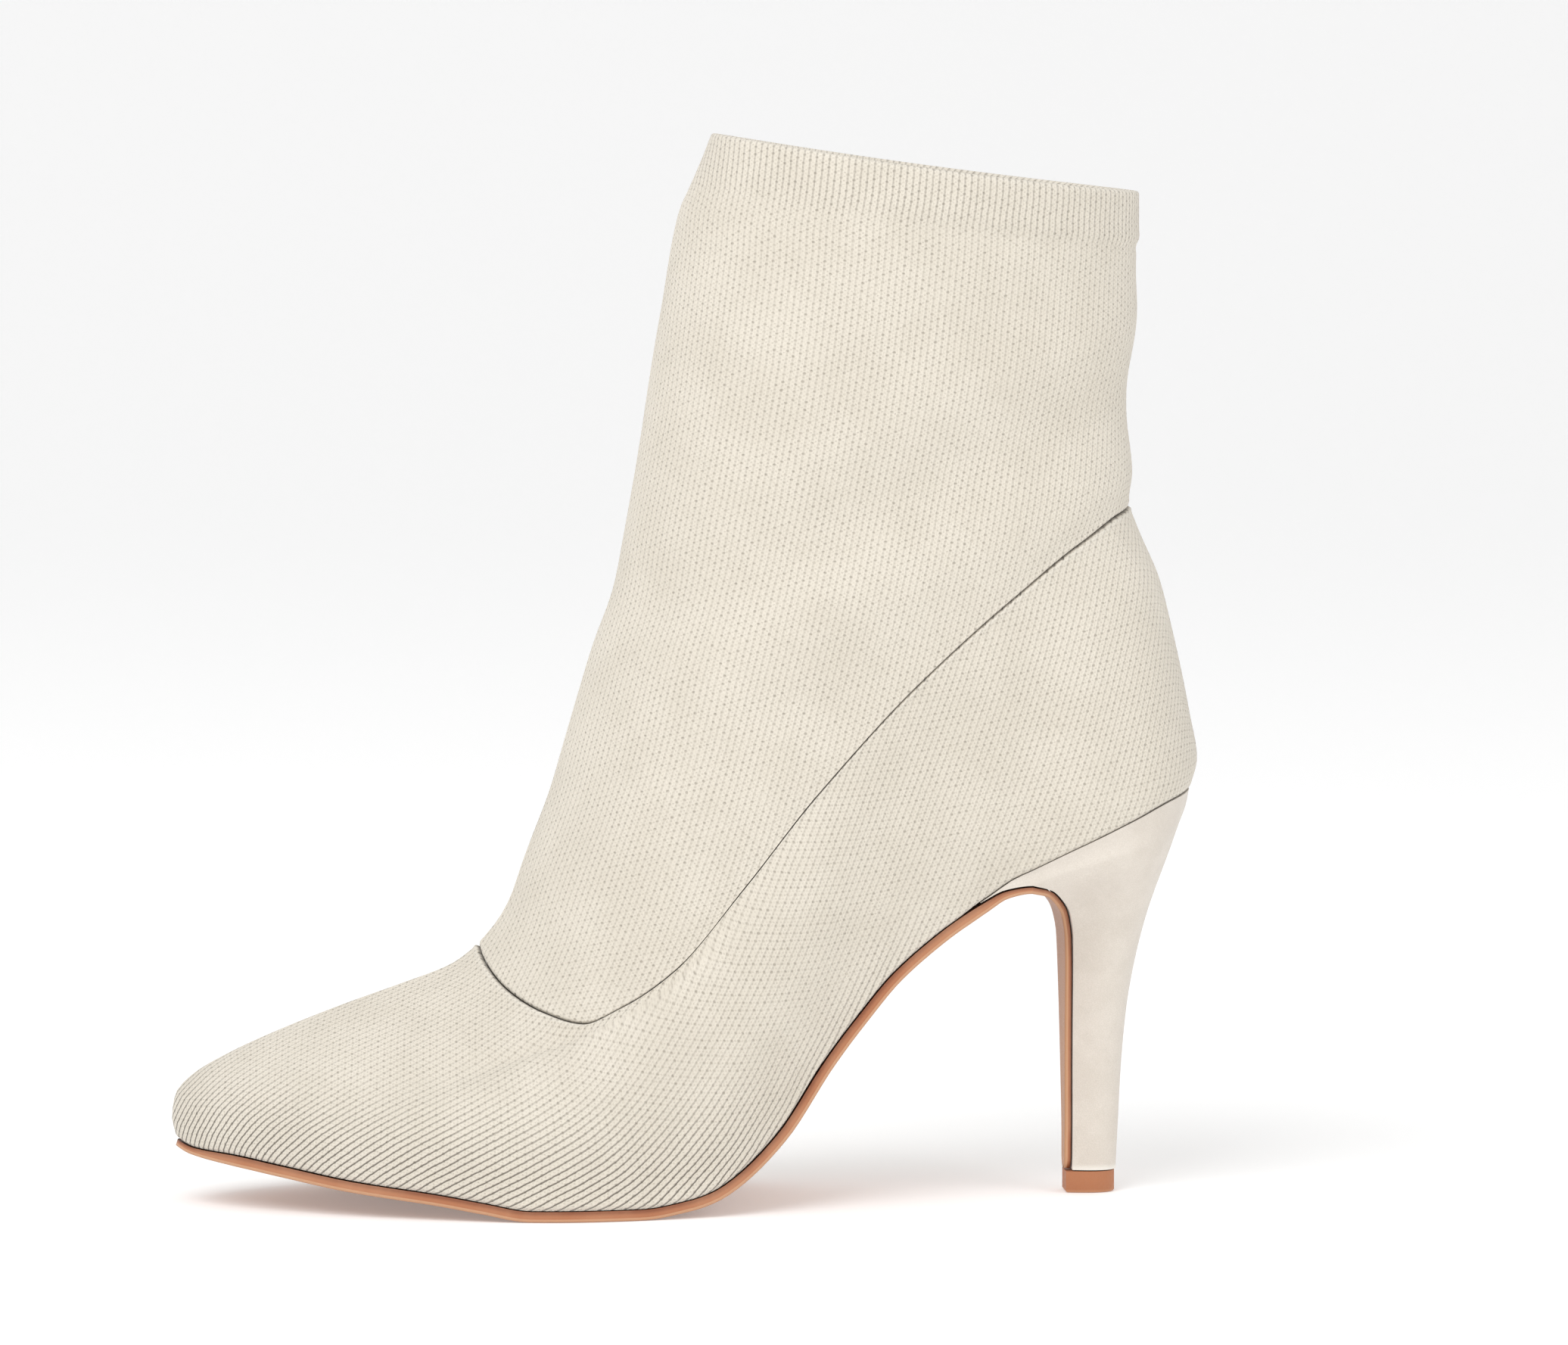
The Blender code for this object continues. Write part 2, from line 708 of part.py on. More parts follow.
def clear_scene():
    """Removes every object, then makes the boot's collection and the empty that places it."""
    for old in list(bpy.data.objects):
        bpy.data.objects.remove(old)
    group = bpy.data.collections.new("Sweater boot")
    bpy.context.scene.collection.children.link(group)
    middle = bpy.data.objects.new("boot_middle", None)
    group.objects.link(middle)
    return middle


def build_boot():
    """Makes every piece, then centres the boot between its outer and inner side."""
    middle = clear_scene()
    upper = upper_points()
    middle.location.y = -(upper[..., 1].max() + upper[..., 1].min()) / 2
    knit = add_material("cream_knit", (0.78, 0.71, 0.60), 0.9)
    sock = add_material("cream_knit_shaft", (0.80, 0.73, 0.62), 0.9)
    tan = add_material("tan_leather", (0.42, 0.17, 0.07), 0.5)
    suede = add_material("cream_suede", (0.76, 0.68, 0.60), 0.95)
    rubber = add_material("tan_top_lift", (0.45, 0.20, 0.09), 0.6)
    board = add_material("cream_lining", (0.74, 0.66, 0.55), 0.8)
    add_knit("upper", upper, knit)
    add_knit("shaft", shaft_points(), sock)
    add_loft("outsole", outsole_rings(), tan)
    add_loft("heel", heel_rings(), suede)
    add_loft("top_lift", lift_rings(), rubber)
    add_loft("insole", insole_rings(), board)


build_boot()
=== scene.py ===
"""Sweater boot: cream knit, wrapped leather sole and suede-covered heel of a left sock boot.

Every visible piece is a surface worked out from the boot's side lines and half widths.
The toe points to -X, the outer side faces -Y, and sizes are in metres. A place round
the boot is a turn: 0 at the toe, half a turn at the heel, the outer side first.
"""

import bmesh
import bpy
import numpy as np
from bpy.props import FloatProperty, FloatVectorProperty, PointerProperty
from bpy.types import Operator, Panel, PropertyGroup
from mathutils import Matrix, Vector


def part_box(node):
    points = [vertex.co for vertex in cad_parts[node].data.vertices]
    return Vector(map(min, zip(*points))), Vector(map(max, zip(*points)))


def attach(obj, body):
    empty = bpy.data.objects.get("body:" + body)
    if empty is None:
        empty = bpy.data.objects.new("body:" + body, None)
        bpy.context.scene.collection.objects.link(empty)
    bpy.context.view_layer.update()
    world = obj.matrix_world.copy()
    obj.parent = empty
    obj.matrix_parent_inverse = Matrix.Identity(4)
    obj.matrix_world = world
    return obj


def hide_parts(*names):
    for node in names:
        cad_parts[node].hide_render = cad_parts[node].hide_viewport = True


bl_info = {
    "name": "Sweater Boot",
    "version": (1, 0, 0),
    "blender": (4, 5, 0),
    "location": "View3D > Sidebar > Boot",
    "description": "Dresses a sock boot in ribbed knit, leather and suede",
    "category": "Add Mesh",
}

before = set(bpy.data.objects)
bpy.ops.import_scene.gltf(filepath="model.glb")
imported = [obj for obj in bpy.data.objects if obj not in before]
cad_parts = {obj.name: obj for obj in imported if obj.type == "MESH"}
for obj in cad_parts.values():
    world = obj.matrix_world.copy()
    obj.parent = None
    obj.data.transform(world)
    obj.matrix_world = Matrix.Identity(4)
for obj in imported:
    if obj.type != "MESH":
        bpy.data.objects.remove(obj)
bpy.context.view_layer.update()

MM = 0.001

# Lengths, widths and heights of the last
BOOT_LENGTH = 228.6 * MM
BALL_WIDTH = 78.0 * MM
TOE_SWING = 3.0 * MM
BULGE = 2.6 * MM
COLLAR_WIDTH = 54.0 * MM
TOE_SPRING = 11.4 * MM
THROAT_HEIGHT = 57.0 * MM
HEEL_HEIGHT = 90.6 * MM
ANKLE_HEIGHT = 153.9 * MM
BACK_HEIGHT = 223.7 * MM
FRONT_HEIGHT = 236.7 * MM
COLLAR_DIP = 1.0 * MM

# Walls, boards and bands
KNIT_WALL = 1.8 * MM
SOLE_THICKNESS = 2.4 * MM
TOE_THICKNESS = 1.3 * MM
FLAP_THICKNESS = 1.45 * MM
CUFF_HEIGHT = 12.0 * MM
LIFT_HEIGHT = 4.8 * MM
LIFT_INSET = 0.3 * MM
HEEL_MARGIN = 0.3 * MM
CLEARANCE = 0.3 * MM
SEAM_GAP = 0.05 * MM
FEATHER_LIFT = 0.12 * MM
CUFF_STEP = 0.45 * MM
RIM_ROUND = 0.9 * MM
BACK_STITCH = 2.2 * MM
EDGE_ROUND = 0.2 * MM
FOOT_ROUND = 0.7 * MM

# Shape of the curves
PANEL_LEAN = 1.6
HEEL_BELLY = 0.8
HEEL_ROUND = 2.3
SWING_START = 0.45
CREST_SHARE = 0.2
TOE_TAPER = 0.05
CREST_TAPER = 0.06

# Number of steps in each mesh
COLUMNS = 640
UPPER_RINGS = 56
SHAFT_RINGS = 82
UPPER_INNER_RINGS = 14
SHAFT_INNER_RINGS = 24
LAY_COLUMNS = 60
LAY_RINGS = 16
SOLE_STEPS = 150
CREST_STEPS = 34
FLAP_STEPS = 30
FLAP_END_STEPS = 12
HEEL_SIDE_STEPS = 34
LIFT_SIDE_STEPS = 24
EDGE_STEPS = 6

# Top face of the sole from the toe to the crest in front of the heel.
# along: share of BOOT_LENGTH. spring: share of TOE_SPRING.
# rise: share of the way from the tread to HEEL_HEIGHT.
SOLE_LINE = (
    ("along", "spring", "rise"),
    (0.0056, 1.000, 0.000),
    (0.0191, 0.910, 0.000),
    (0.0568, 0.842, 0.000),
    (0.1008, 0.703, 0.000),
    (0.1647, 0.488, 0.000),
    (0.2500, 0.280, 0.000),
    (0.2927, 0.140, 0.000),
    (0.3371, 0.000, 0.000),
    (0.4431, 0.000, 0.000),
    (0.4891, 0.000, 0.017),
    (0.5114, 0.000, 0.034),
    (0.5340, 0.000, 0.067),
    (0.5797, 0.000, 0.175),
    (0.6252, 0.000, 0.345),
    (0.6591, 0.000, 0.459),
    (0.6919, 0.000, 0.560),
    (0.7362, 0.000, 0.659),
    (0.7584, 0.000, 0.700),
    (0.7807, 0.000, 0.735),
    (0.8028, 0.000, 0.764),
    (0.8284, 0.000, 0.774),
)

# Lower edge of the knit above the heel cover, where it leaves the sole line.
SEAT_LINE = (
    ("along", "rise"),
    (0.7781, 0.738),
    (0.7881, 0.755),
    (0.8102, 0.794),
    (0.8284, 0.816),
    (0.8465, 0.839),
    (0.8646, 0.862),
    (0.8955, 0.899),
    (0.9280, 0.938),
    (0.9625, 0.978),
    (0.9926, 1.000),
)

# Face of the sole's flap that lies on the breast of the heel.
# drop: share of the way from the crest down to the top lift.
# half: half width of the flap, share of BALL_WIDTH.
BREAST_LINE = (
    ("along", "drop", "half"),
    (0.8466, 0.018, 0.240),
    (0.8592, 0.055, 0.180),
    (0.8682, 0.101, 0.135),
    (0.8717, 0.147, 0.117),
    (0.8736, 0.194, 0.108),
    (0.8747, 0.315, 0.095),
    (0.8753, 0.458, 0.076),
    (0.8761, 0.668, 0.056),
    (0.8768, 0.871, 0.043),
    (0.8768, 1.000, 0.040),
)

# Back of the heel, from the top lift to the seat.
# up: share of the way from the top lift to HEEL_HEIGHT.
HEEL_BACK = (
    ("along", "up"),
    (0.9223, 0.000),
    (0.9245, 0.126),
    (0.9271, 0.268),
    (0.9323, 0.426),
    (0.9398, 0.545),
    (0.9507, 0.664),
    (0.9656, 0.783),
    (0.9813, 0.902),
    (0.9897, 0.961),
    (0.9926, 1.000),
)

# Heel sections: how far each is up the breast line and up the back of the heel.
# seat: how much of the seat's own outline the section has.
HEEL_SECTIONS = (
    ("front", "back", "seat"),
    (0.00, 0.000, 0.00),
    (0.54, 0.545, 0.00),
    (0.66, 0.700, 0.12),
    (0.75, 0.805, 0.32),
    (0.83, 0.880, 0.58),
    (1.00, 1.000, 1.00),
)

# Ridge of the vamp from the toe's lower edge to the throat.
# up: share of the way from the toe's lower edge to THROAT_HEIGHT.
VAMP_RIDGE = (
    ("along", "up"),
    (0.0056, 0.000),
    (0.0000, 0.111),
    (0.0031, 0.229),
    (0.0206, 0.339),
    (0.0569, 0.452),
    (0.1045, 0.567),
    (0.1610, 0.683),
    (0.2213, 0.797),
    (0.2720, 0.900),
    (0.2979, 1.000),
)

# Front of the shaft from the throat to the collar.
# up: share of the way from THROAT_HEIGHT to FRONT_HEIGHT.
SHAFT_FRONT = (
    ("along", "up"),
    (0.2979, 0.000),
    (0.3202, 0.036),
    (0.3320, 0.064),
    (0.3469, 0.120),
    (0.3762, 0.232),
    (0.4029, 0.344),
    (0.4304, 0.456),
    (0.4488, 0.568),
    (0.4628, 0.680),
    (0.4777, 0.792),
    (0.4939, 0.903),
    (0.5155, 0.959),
    (0.5284, 1.000),
)

# Back of the knit from the heel seat to the ankle seam.
# up: share of the way from the seat to ANKLE_HEIGHT.
QUARTER_BACK = (
    ("along", "up"),
    (0.9926, 0.000),
    (1.0000, 0.103),
    (0.9926, 0.265),
    (0.9838, 0.427),
    (0.9733, 0.589),
    (0.9606, 0.749),
    (0.9418, 0.911),
    (0.9322, 1.000),
)

# Back of the shaft from the ankle seam to the collar.
# up: share of the way from ANKLE_HEIGHT to BACK_HEIGHT.
SHAFT_BACK = (
    ("along", "up"),
    (0.9322, 0.000),
    (0.9312, 0.100),
    (0.9320, 0.230),
    (0.9348, 0.355),
    (0.9388, 0.645),
    (0.9394, 1.000),
)

# Seam between the lower panel and the shaft, dipping over the vamp.
# turn: share of half a turn from toe to heel.
# up: share of the way from THROAT_HEIGHT to ANKLE_HEIGHT.
SEAM_LINE = (
    ("turn", "up"),
    (0.000, 0.000),
    (0.060, -0.039),
    (0.125, -0.088),
    (0.190, -0.128),
    (0.250, -0.150),
    (0.300, -0.110),
    (0.360, -0.024),
    (0.430, 0.160),
    (0.500, 0.364),
    (0.600, 0.610),
    (0.700, 0.792),
    (0.800, 0.918),
    (0.900, 0.983),
    (1.000, 1.000),
)

# Half widths round the boot, each the half width of the oval that it lies on.
# turn: share of half a turn from toe to heel. The rest: shares of BALL_WIDTH.
WIDTHS = (
    ("turn", "outer_tread", "inner_tread", "seam"),
    (0.0, 0.346, 0.346, 0.500),
    (0.1, 0.391, 0.404, 0.522),
    (0.2, 0.445, 0.472, 0.530),
    (0.3, 0.505, 0.505, 0.490),
    (0.4, 0.532, 0.474, 0.430),
    (0.5, 0.455, 0.353, 0.395),
    (0.6, 0.321, 0.256, 0.388),
    (0.7, 0.346, 0.327, 0.405),
    (0.8, 0.500, 0.494, 0.440),
    (0.9, 0.650, 0.650, 0.480),
    (1.0, 0.692, 0.692, 0.494),
)

# Direction of the knit's wales on the lower panel, seen from the side.
# past_bend: distance behind the bend line across the ball, in metres.
# angle: degrees from level, rising to the heel.
PANEL_WALES = (
    ("past_bend", "angle"),
    (-0.100, 68.0),
    (-0.090, 56.0),
    (-0.078, 37.0),
    (-0.060, 29.0),
    (-0.040, 25.0),
    (-0.018, 28.0),
    (-0.005, 38.0),
    (0.002, 47.0),
    (0.012, 52.0),
    (0.028, 57.0),
    (0.048, 64.0),
    (0.080, 68.0),
    (0.130, 70.0),
    (0.170, 76.0),
    (0.200, 80.0),
)
BEND_FOOT = -2.7 * MM
BEND_SLOPE = 0.66

# Direction of the wales on the shaft, at its front and its back.
SHAFT_WALES = (
    ("height", "front", "back"),
    (0.040, 62.0, 70.0),
    (0.056, 66.0, 72.0),
    (0.073, 69.0, 74.0),
    (0.100, 73.0, 76.0),
    (0.140, 76.0, 78.0),
    (0.165, 78.0, 80.0),
    (0.190, 80.0, 84.0),
    (0.212, 78.0, 88.0),
    (0.240, 68.0, 89.0),
)

# Soft folds of the shaft, each along a straight line in the side view.
# x0, z0 and x1, z1: its ends. reach: half its width. depth: how far it goes in.
SHAFT_FOLDS = (
    ("x0", "z0", "x1", "z1", "reach", "depth"),
    (-0.014, 0.131, 0.100, 0.181, 0.0100, 0.0016),
    (-0.006, 0.116, 0.104, 0.163, 0.0090, -0.0010),
    (0.010, 0.168, 0.104, 0.197, 0.0110, -0.0005),
    (0.030, 0.186, 0.106, 0.207, 0.0070, 0.0004),
    (-0.036, 0.088, 0.030, 0.112, 0.0080, 0.0005),
    (-0.040, 0.070, 0.020, 0.094, 0.0060, -0.0003),
)

# Soft swells of the lower panel, in the same columns.
PANEL_FOLDS = (
    ("x0", "z0", "x1", "z1", "reach", "depth"),
    (-0.034, 0.044, -0.004, 0.004, 0.0050, 0.0006),
    (-0.020, 0.050, 0.012, 0.010, 0.0050, -0.0005),
    (0.002, 0.052, 0.030, 0.024, 0.0050, 0.0003),
    (0.040, 0.105, 0.100, 0.135, 0.0080, -0.0004),
    (-0.100, 0.020, -0.050, 0.036, 0.0060, 0.0003),
)

# Narrow ridges and grooves beside the edges of each panel, in millimetres.
# beside: the edge. off: distance from it. reach: half the width. out: how far it stands out.
PANEL_EDGES = (
    ("beside", "off", "reach", "out"),
    ("seam", 0.9, 0.50, 0.22),
    ("seam", 0.0, 0.32, -0.60),
    ("sole", 1.3, 0.90, 0.10),
    ("sole", 0.0, 0.55, -0.45),
    ("back", 1.0, 0.60, 0.22),
    ("back", 0.0, 0.35, -0.30),
)
SHAFT_EDGES = (
    ("beside", "off", "reach", "out"),
    ("seam", 1.0, 0.60, 0.10),
    ("seam", 0.0, 0.35, -0.50),
    ("hem", -0.5, 0.80, -0.22),
    ("hem", 2.2, 1.00, 0.12),
    ("back", 1.0, 0.60, 0.20),
    ("back", 0.0, 0.35, -0.28),
)

# Where each light stands, and the side of its square.
LIGHTS = (
    ("name", "place", "side"),
    ("key", (-0.9, -1.1, 1.7), 1.6),
    ("fill", (1.5, -1.3, 0.9), 1.4),
)
LIT_PLACE = (0, 0, 0.1)


def column(table, name):
    """One named column of a table, as an array."""
    return np.array([row[table[0].index(name)] for row in table[1:]])


def through(places, values, at):
    """A smooth curve through the rows that never overshoots them, read at the places given."""
    places = np.asarray(places, float)
    values = np.asarray(values, float)
    at = np.asarray(at, float)
    step = np.diff(places)
    slope = np.diff(values) / step
    before, after = slope[:-1], slope[1:]
    same_way = before * after > 0
    total = np.where(same_way, before + after, 1.0)
    inside = np.where(same_way, 2 * before * after / total, 0.0)
    lean = np.concatenate([slope[:1], inside, slope[-1:]])
    i = np.clip(np.searchsorted(places, at, side="right") - 1, 0, len(step) - 1)
    u = (at - places[i]) / step[i]
    hold = values[i] * (1 + 2 * u) * (1 - u) ** 2 + values[i + 1] * (3 - 2 * u) * u**2
    bend = lean[i] * u * (1 - u) ** 2 + lean[i + 1] * (u - 1) * u**2
    return hold + step[i] * bend


def ease(value, start, end):
    """0 before the start and 1 after the end, with a smooth step between."""
    share = np.clip((value - start) / (end - start), 0, 1)
    return share * share * (3 - 2 * share)


def bell(value, reach):
    """1 at zero, falling away on both sides like a bell curve of the reach given."""
    return np.exp(-((value / reach) ** 2))


def run_along(points):
    """Length run from the first point of a line to each of its points."""
    legs = np.linalg.norm(np.diff(points, axis=0), axis=1)
    return np.concatenate([[0.0], np.cumsum(legs)])


def run_share(points):
    """Share of the way run along a line of points, 0 at its first and 1 at its last."""
    run = run_along(points)
    return run / run[-1]


def along_line(points, share):
    """The point at each share of the way along a smooth line through the points given."""
    places = run_share(points)
    sides = [through(places, points[:, side], share) for side in range(points.shape[1])]
    return np.stack(sides, axis=-1)


def side_line(table, low, high, rise="up"):
    """A table's line in the side view, between two heights above the floor."""
    x = (column(table, "along") - 0.5) * BOOT_LENGTH
    return np.stack([x, low + (high - low) * column(table, rise)], axis=-1)


def side_normals(points):
    """Unit normals of a side view line, to the right of its way from toe to heel."""
    way = np.gradient(points, axis=0)
    way = way / np.linalg.norm(way, axis=1, keepdims=True)
    return np.stack([way[:, 1], -way[:, 0]], axis=-1)


TOE_EDGE = SOLE_THICKNESS + TOE_SPRING
LIFT_TOP = LIFT_HEIGHT + CLEARANCE
VAMP = side_line(VAMP_RIDGE, TOE_EDGE, THROAT_HEIGHT)
FRONT = side_line(SHAFT_FRONT, THROAT_HEIGHT, FRONT_HEIGHT)
QUARTER = side_line(QUARTER_BACK, HEEL_HEIGHT, ANKLE_HEIGHT)
BACK = side_line(SHAFT_BACK, ANKLE_HEIGHT, BACK_HEIGHT)
SEAT = side_line(SEAT_LINE, SOLE_THICKNESS, HEEL_HEIGHT, "rise")
HEEL_REAR = side_line(HEEL_BACK, LIFT_TOP, HEEL_HEIGHT)
SOLE = side_line(SOLE_LINE, SOLE_THICKNESS, HEEL_HEIGHT, "rise")
SOLE[:, 1] += TOE_SPRING * column(SOLE_LINE, "spring")
CREST = SOLE[-1]
BREAST = np.vstack([CREST, side_line(BREAST_LINE, CREST[1], LIFT_TOP, "drop")])
TOE_X = SOLE[0, 0]
SEAT_X = SEAT[-1, 0]


def sole_height(x):
    """Height of the sole's top face, from the toe to the crest."""
    rows = np.vstack([SOLE, BREAST[1]])
    return through(rows[:, 0], rows[:, 1], x)


def feather_height(x):
    """Height of the line that the knit's lower edge follows: the sole line, then the heel seat."""
    on_sole = SOLE[SOLE[:, 0] < SEAT[0, 0]]
    rows = np.vstack([on_sole, SEAT])
    return through(rows[:, 0], rows[:, 1], x)


def width_round(turn, outer, inner):
    """Half width of the oval at each turn, from the outer or the inner column."""
    turn = np.mod(turn, 2 * np.pi)
    folded = 1 - np.abs(1 - turn / np.pi)
    places = column(WIDTHS, "turn")
    on_outer = through(places, column(WIDTHS, outer), folded)
    on_inner = through(places, column(WIDTHS, inner), folded)
    return BALL_WIDTH * np.where(turn <= np.pi, on_outer, on_inner)


def swing(x):
    """How far the boot's middle bends to the inner side, growing from the ball to the toe."""
    share = np.clip(1 - (x / BOOT_LENGTH + 0.5) / SWING_START, 0, 1)
    return TOE_SWING * share**2


def tread_half(x, outer):
    """Half width of the tread at x, on the outer or the inner side."""
    share = np.clip((x - TOE_X) / (SEAT_X - TOE_X), 0, 1)
    turn = np.arccos(1 - 2 * share)
    turn = turn if outer else 2 * np.pi - turn
    return width_round(turn, "outer_tread", "inner_tread") * np.abs(np.sin(turn))


def feather_line(turn):
    """Side view of the line that the knit's lower edge follows, with turns spread like a circle's."""
    x = TOE_X + (SEAT_X - TOE_X) * (1 - np.cos(turn)) / 2
    return np.stack([x, feather_height(x)], axis=-1)


def seam_line(turn):
    """The seam between the lower panel and the shaft in the side view."""
    x = VAMP[-1, 0] + (QUARTER[-1, 0] - VAMP[-1, 0]) * (1 - np.cos(turn)) / 2
    folded = 1 - np.abs(1 - np.mod(turn, 2 * np.pi) / np.pi)
    up = through(column(SEAM_LINE, "turn"), column(SEAM_LINE, "up"), folded)
    return np.stack([x, THROAT_HEIGHT + (ANKLE_HEIGHT - THROAT_HEIGHT) * up], axis=-1)


def collar_line(turn):
    """The collar in the side view, sagging a little between its front and its back."""
    share = (1 - np.cos(turn)) / 2
    dip = np.stack([0 * share, COLLAR_DIP * 4 * share * (1 - share)], axis=-1)
    return FRONT[-1] * (1 - share[..., None]) + BACK[-1] * share[..., None] - dip


def side_patch(turn, share, low, high, front, back, lean):
    """Side view places between a low and a high line, bent to a front and a back line.

    Each point lies a share of the way from the low line to the high one, later along
    the boot than up it where the lean is over 1. To that the front line's own bend is
    added in full at the toe end, fading to nothing at the heel, and the back line's
    the other way round.
    """
    share_2d = np.stack([share**lean, share], axis=-1)
    middle = low * (1 - share_2d) + high * share_2d
    front_bend = along_line(front, share) - (front[0] * (1 - share_2d) + front[-1] * share_2d)
    back_bend = along_line(back, share) - (back[0] * (1 - share_2d) + back[-1] * share_2d)
    to_back = ((1 - np.cos(turn)) / 2)[..., None]
    return middle + (1 - to_back) * front_bend + to_back * back_bend


def in_space(side, turn, half):
    """Side view places and half widths as points: each ring is an oval with its own bend."""
    y = swing(side[..., 0]) - half * np.sin(turn)
    return np.stack([side[..., 0], y, side[..., 1]], axis=-1)


def upper_surface(turn, share):
    """Outer face of the lower panel: share 0 at the sole, 1 at the seam.

    It is fullest by BULGE a third of the way up.
    """
    low, high = feather_line(turn), seam_line(turn)
    side = side_patch(turn, share, low, high, VAMP, QUARTER, PANEL_LEAN)
    tread = width_round(turn, "outer_tread", "inner_tread")
    seam = width_round(turn, "seam", "seam")
    full = BULGE * 27 / 4 * share * (1 - share) ** 2
    return in_space(side, turn, tread * (1 - share) + seam * share + full)


def shaft_surface(turn, share):
    """Outer face of the shaft: share 0 at the seam, 1 at the collar."""
    side = side_patch(turn, share, seam_line(turn), collar_line(turn), FRONT, BACK, 1.0)
    seam = width_round(turn, "seam", "seam")
    return in_space(side, turn, seam * (1 - share) + COLLAR_WIDTH / 2 * share)


def heights_of(surface, turn):
    """Length of each upright line of a surface, from its low to its high edge."""
    shares = np.linspace(0, 1, 25)[:, None] * np.ones_like(turn)
    legs = np.diff(surface(turn, shares), axis=0)
    return np.linalg.norm(legs, axis=2).sum(axis=0)


def normals_of(surface, turn, share):
    """Unit normals of a surface, out of the boot, from its slope around and up."""
    near = 1e-3
    turn = turn * np.ones_like(share)
    around = surface(turn + near, share) - surface(turn - near, share)
    up = surface(turn, np.minimum(share + near, 1)) - surface(turn, np.maximum(share - near, 0))
    normals = np.cross(around, up)
    return normals / np.linalg.norm(normals, axis=-1, keepdims=True)


def panel_wales(x, z):
    """Side view angle of the lower panel's wales: nearly level on the vamp, steep past the ball."""
    past_bend = x - BEND_FOOT + BEND_SLOPE * z
    return through(column(PANEL_WALES, "past_bend"), column(PANEL_WALES, "angle"), past_bend)


def shaft_wales(x, z):
    """Side view angle of the shaft's wales: along its front line, straighter to the back."""
    front = through(column(SHAFT_WALES, "height"), column(SHAFT_WALES, "front"), z)
    back = through(column(SHAFT_WALES, "height"), column(SHAFT_WALES, "back"), z)
    to_back = np.clip((x - FRONT[0, 0]) / (BACK[0, 0] - FRONT[0, 0]), 0, 1)
    return front * (1 - to_back) + back * to_back


def knit_lay(surface, wales, wale_width, course_height):
    """Wale and course numbers over the outer half of a panel, on a coarse grid.

    Across the wales the wale number should climb by one each wale width, and along
    them the course number by one each course height. A wale's direction is its side
    view angle laid into the surface. The numbers are those whose steps between
    neighbours come nearest to this, by least squares.
    """
    turn = np.linspace(0, np.pi, LAY_COLUMNS + 1)
    share = np.linspace(0, 1, LAY_RINGS + 1)[:, None] * np.ones_like(turn)
    points = surface(turn, share)
    normals = normals_of(surface, turn, share)
    angle = np.radians(wales(points[..., 0], points[..., 2]))
    flat = np.cos(angle) * normals[..., 0] + np.sin(angle) * normals[..., 2]
    sideways = -flat * normals[..., 1] / (normals[..., 1] ** 2 + 0.02)
    along = np.stack([np.cos(angle), sideways, np.sin(angle)], axis=-1)
    along -= normals * (along * normals).sum(axis=-1, keepdims=True)
    along /= np.linalg.norm(along, axis=-1, keepdims=True)
    across = np.cross(along, normals)
    slopes = np.stack([across / wale_width, along / course_height])
    numbers = np.arange(points[..., 0].size).reshape(points.shape[:2])
    first = np.concatenate([numbers[:, :-1].ravel(), numbers[:-1].ravel()])
    second = np.concatenate([numbers[:, 1:].ravel(), numbers[1:].ravel()])
    places = points.reshape(-1, 3)
    steps = places[second] - places[first]
    length = np.linalg.norm(steps, axis=1) + 1e-6
    slopes = slopes.reshape(2, -1, 3)
    wanted = ((slopes[:, first] + slopes[:, second]) / 2 * steps).sum(axis=-1) / length
    rows = np.zeros((len(first) + 1, numbers.size))
    count = np.arange(len(first))
    rows[count, second] = 1 / length
    rows[count, first] = -1 / length
    rows[-1, 0] = 1 / wale_width
    wanted = np.hstack([wanted, np.zeros((2, 1))])
    solved = np.linalg.solve(rows.T @ rows, rows.T @ wanted.T)
    return solved.T.reshape(2, *numbers.shape)


def read_smooth(grid, turn, share):
    """Reads a coarse half grid at any turn and share, by cubic curves through four neighbours."""

    def weights(place, count):
        """Cubic weights of four neighbours: each is 1 at its own place and 0 at the others'."""
        base = np.clip(np.floor(place).astype(int), 1, count - 3)
        u = place - base
        near = (
            -u * (u - 1) * (u - 2) / 6,
            (u + 1) * (u - 1) * (u - 2) / 2,
            -(u + 1) * u * (u - 2) / 2,
            (u + 1) * u * (u - 1) / 6,
        )
        return base, near

    column_base, across = weights(turn / np.pi * LAY_COLUMNS, LAY_COLUMNS + 1)
    ring_base, up = weights(share * LAY_RINGS, LAY_RINGS + 1)
    total = 0
    for i in range(4):
        for j in range(4):
            total = total + up[i] * across[j] * grid[ring_base + i - 1, column_base + j - 1]
    return total


def knit_numbers(surface, wales, turn, share, settings):
    """Wale and course numbers all round a panel, running on smoothly over the toe line.

    The inner side mirrors the outer one, so the two meet at the back seam.
    """
    wale, course = knit_lay(surface, wales, settings.wale_width, settings.course_height)
    turn = turn * np.ones_like(share)
    folded = np.abs(turn)
    toe_line = read_smooth(wale, 0 * folded, share)
    out = read_smooth(wale, folded, share) - toe_line
    return toe_line + np.where(turn < 0, -out, out), read_smooth(course, folded, share)


def fold_depth(folds, x, z):
    """How far the soft folds push the surface in.

    Each is a bell curve of the distance to its line in the side view, fading out
    past the line's ends.
    """
    depth = np.zeros_like(x)
    for x0, z0, x1, z1, reach, most in folds[1:]:
        length = np.hypot(x1 - x0, z1 - z0)
        along = ((x - x0) * (x1 - x0) + (z - z0) * (z1 - z0)) / length
        off = ((z - z0) * (x1 - x0) - (x - x0) * (z1 - z0)) / length
        fade = ease(along, -reach, reach) * (1 - ease(along, length - reach, length + 3 * reach))
        depth += most * bell(off, reach) * fade
    return depth


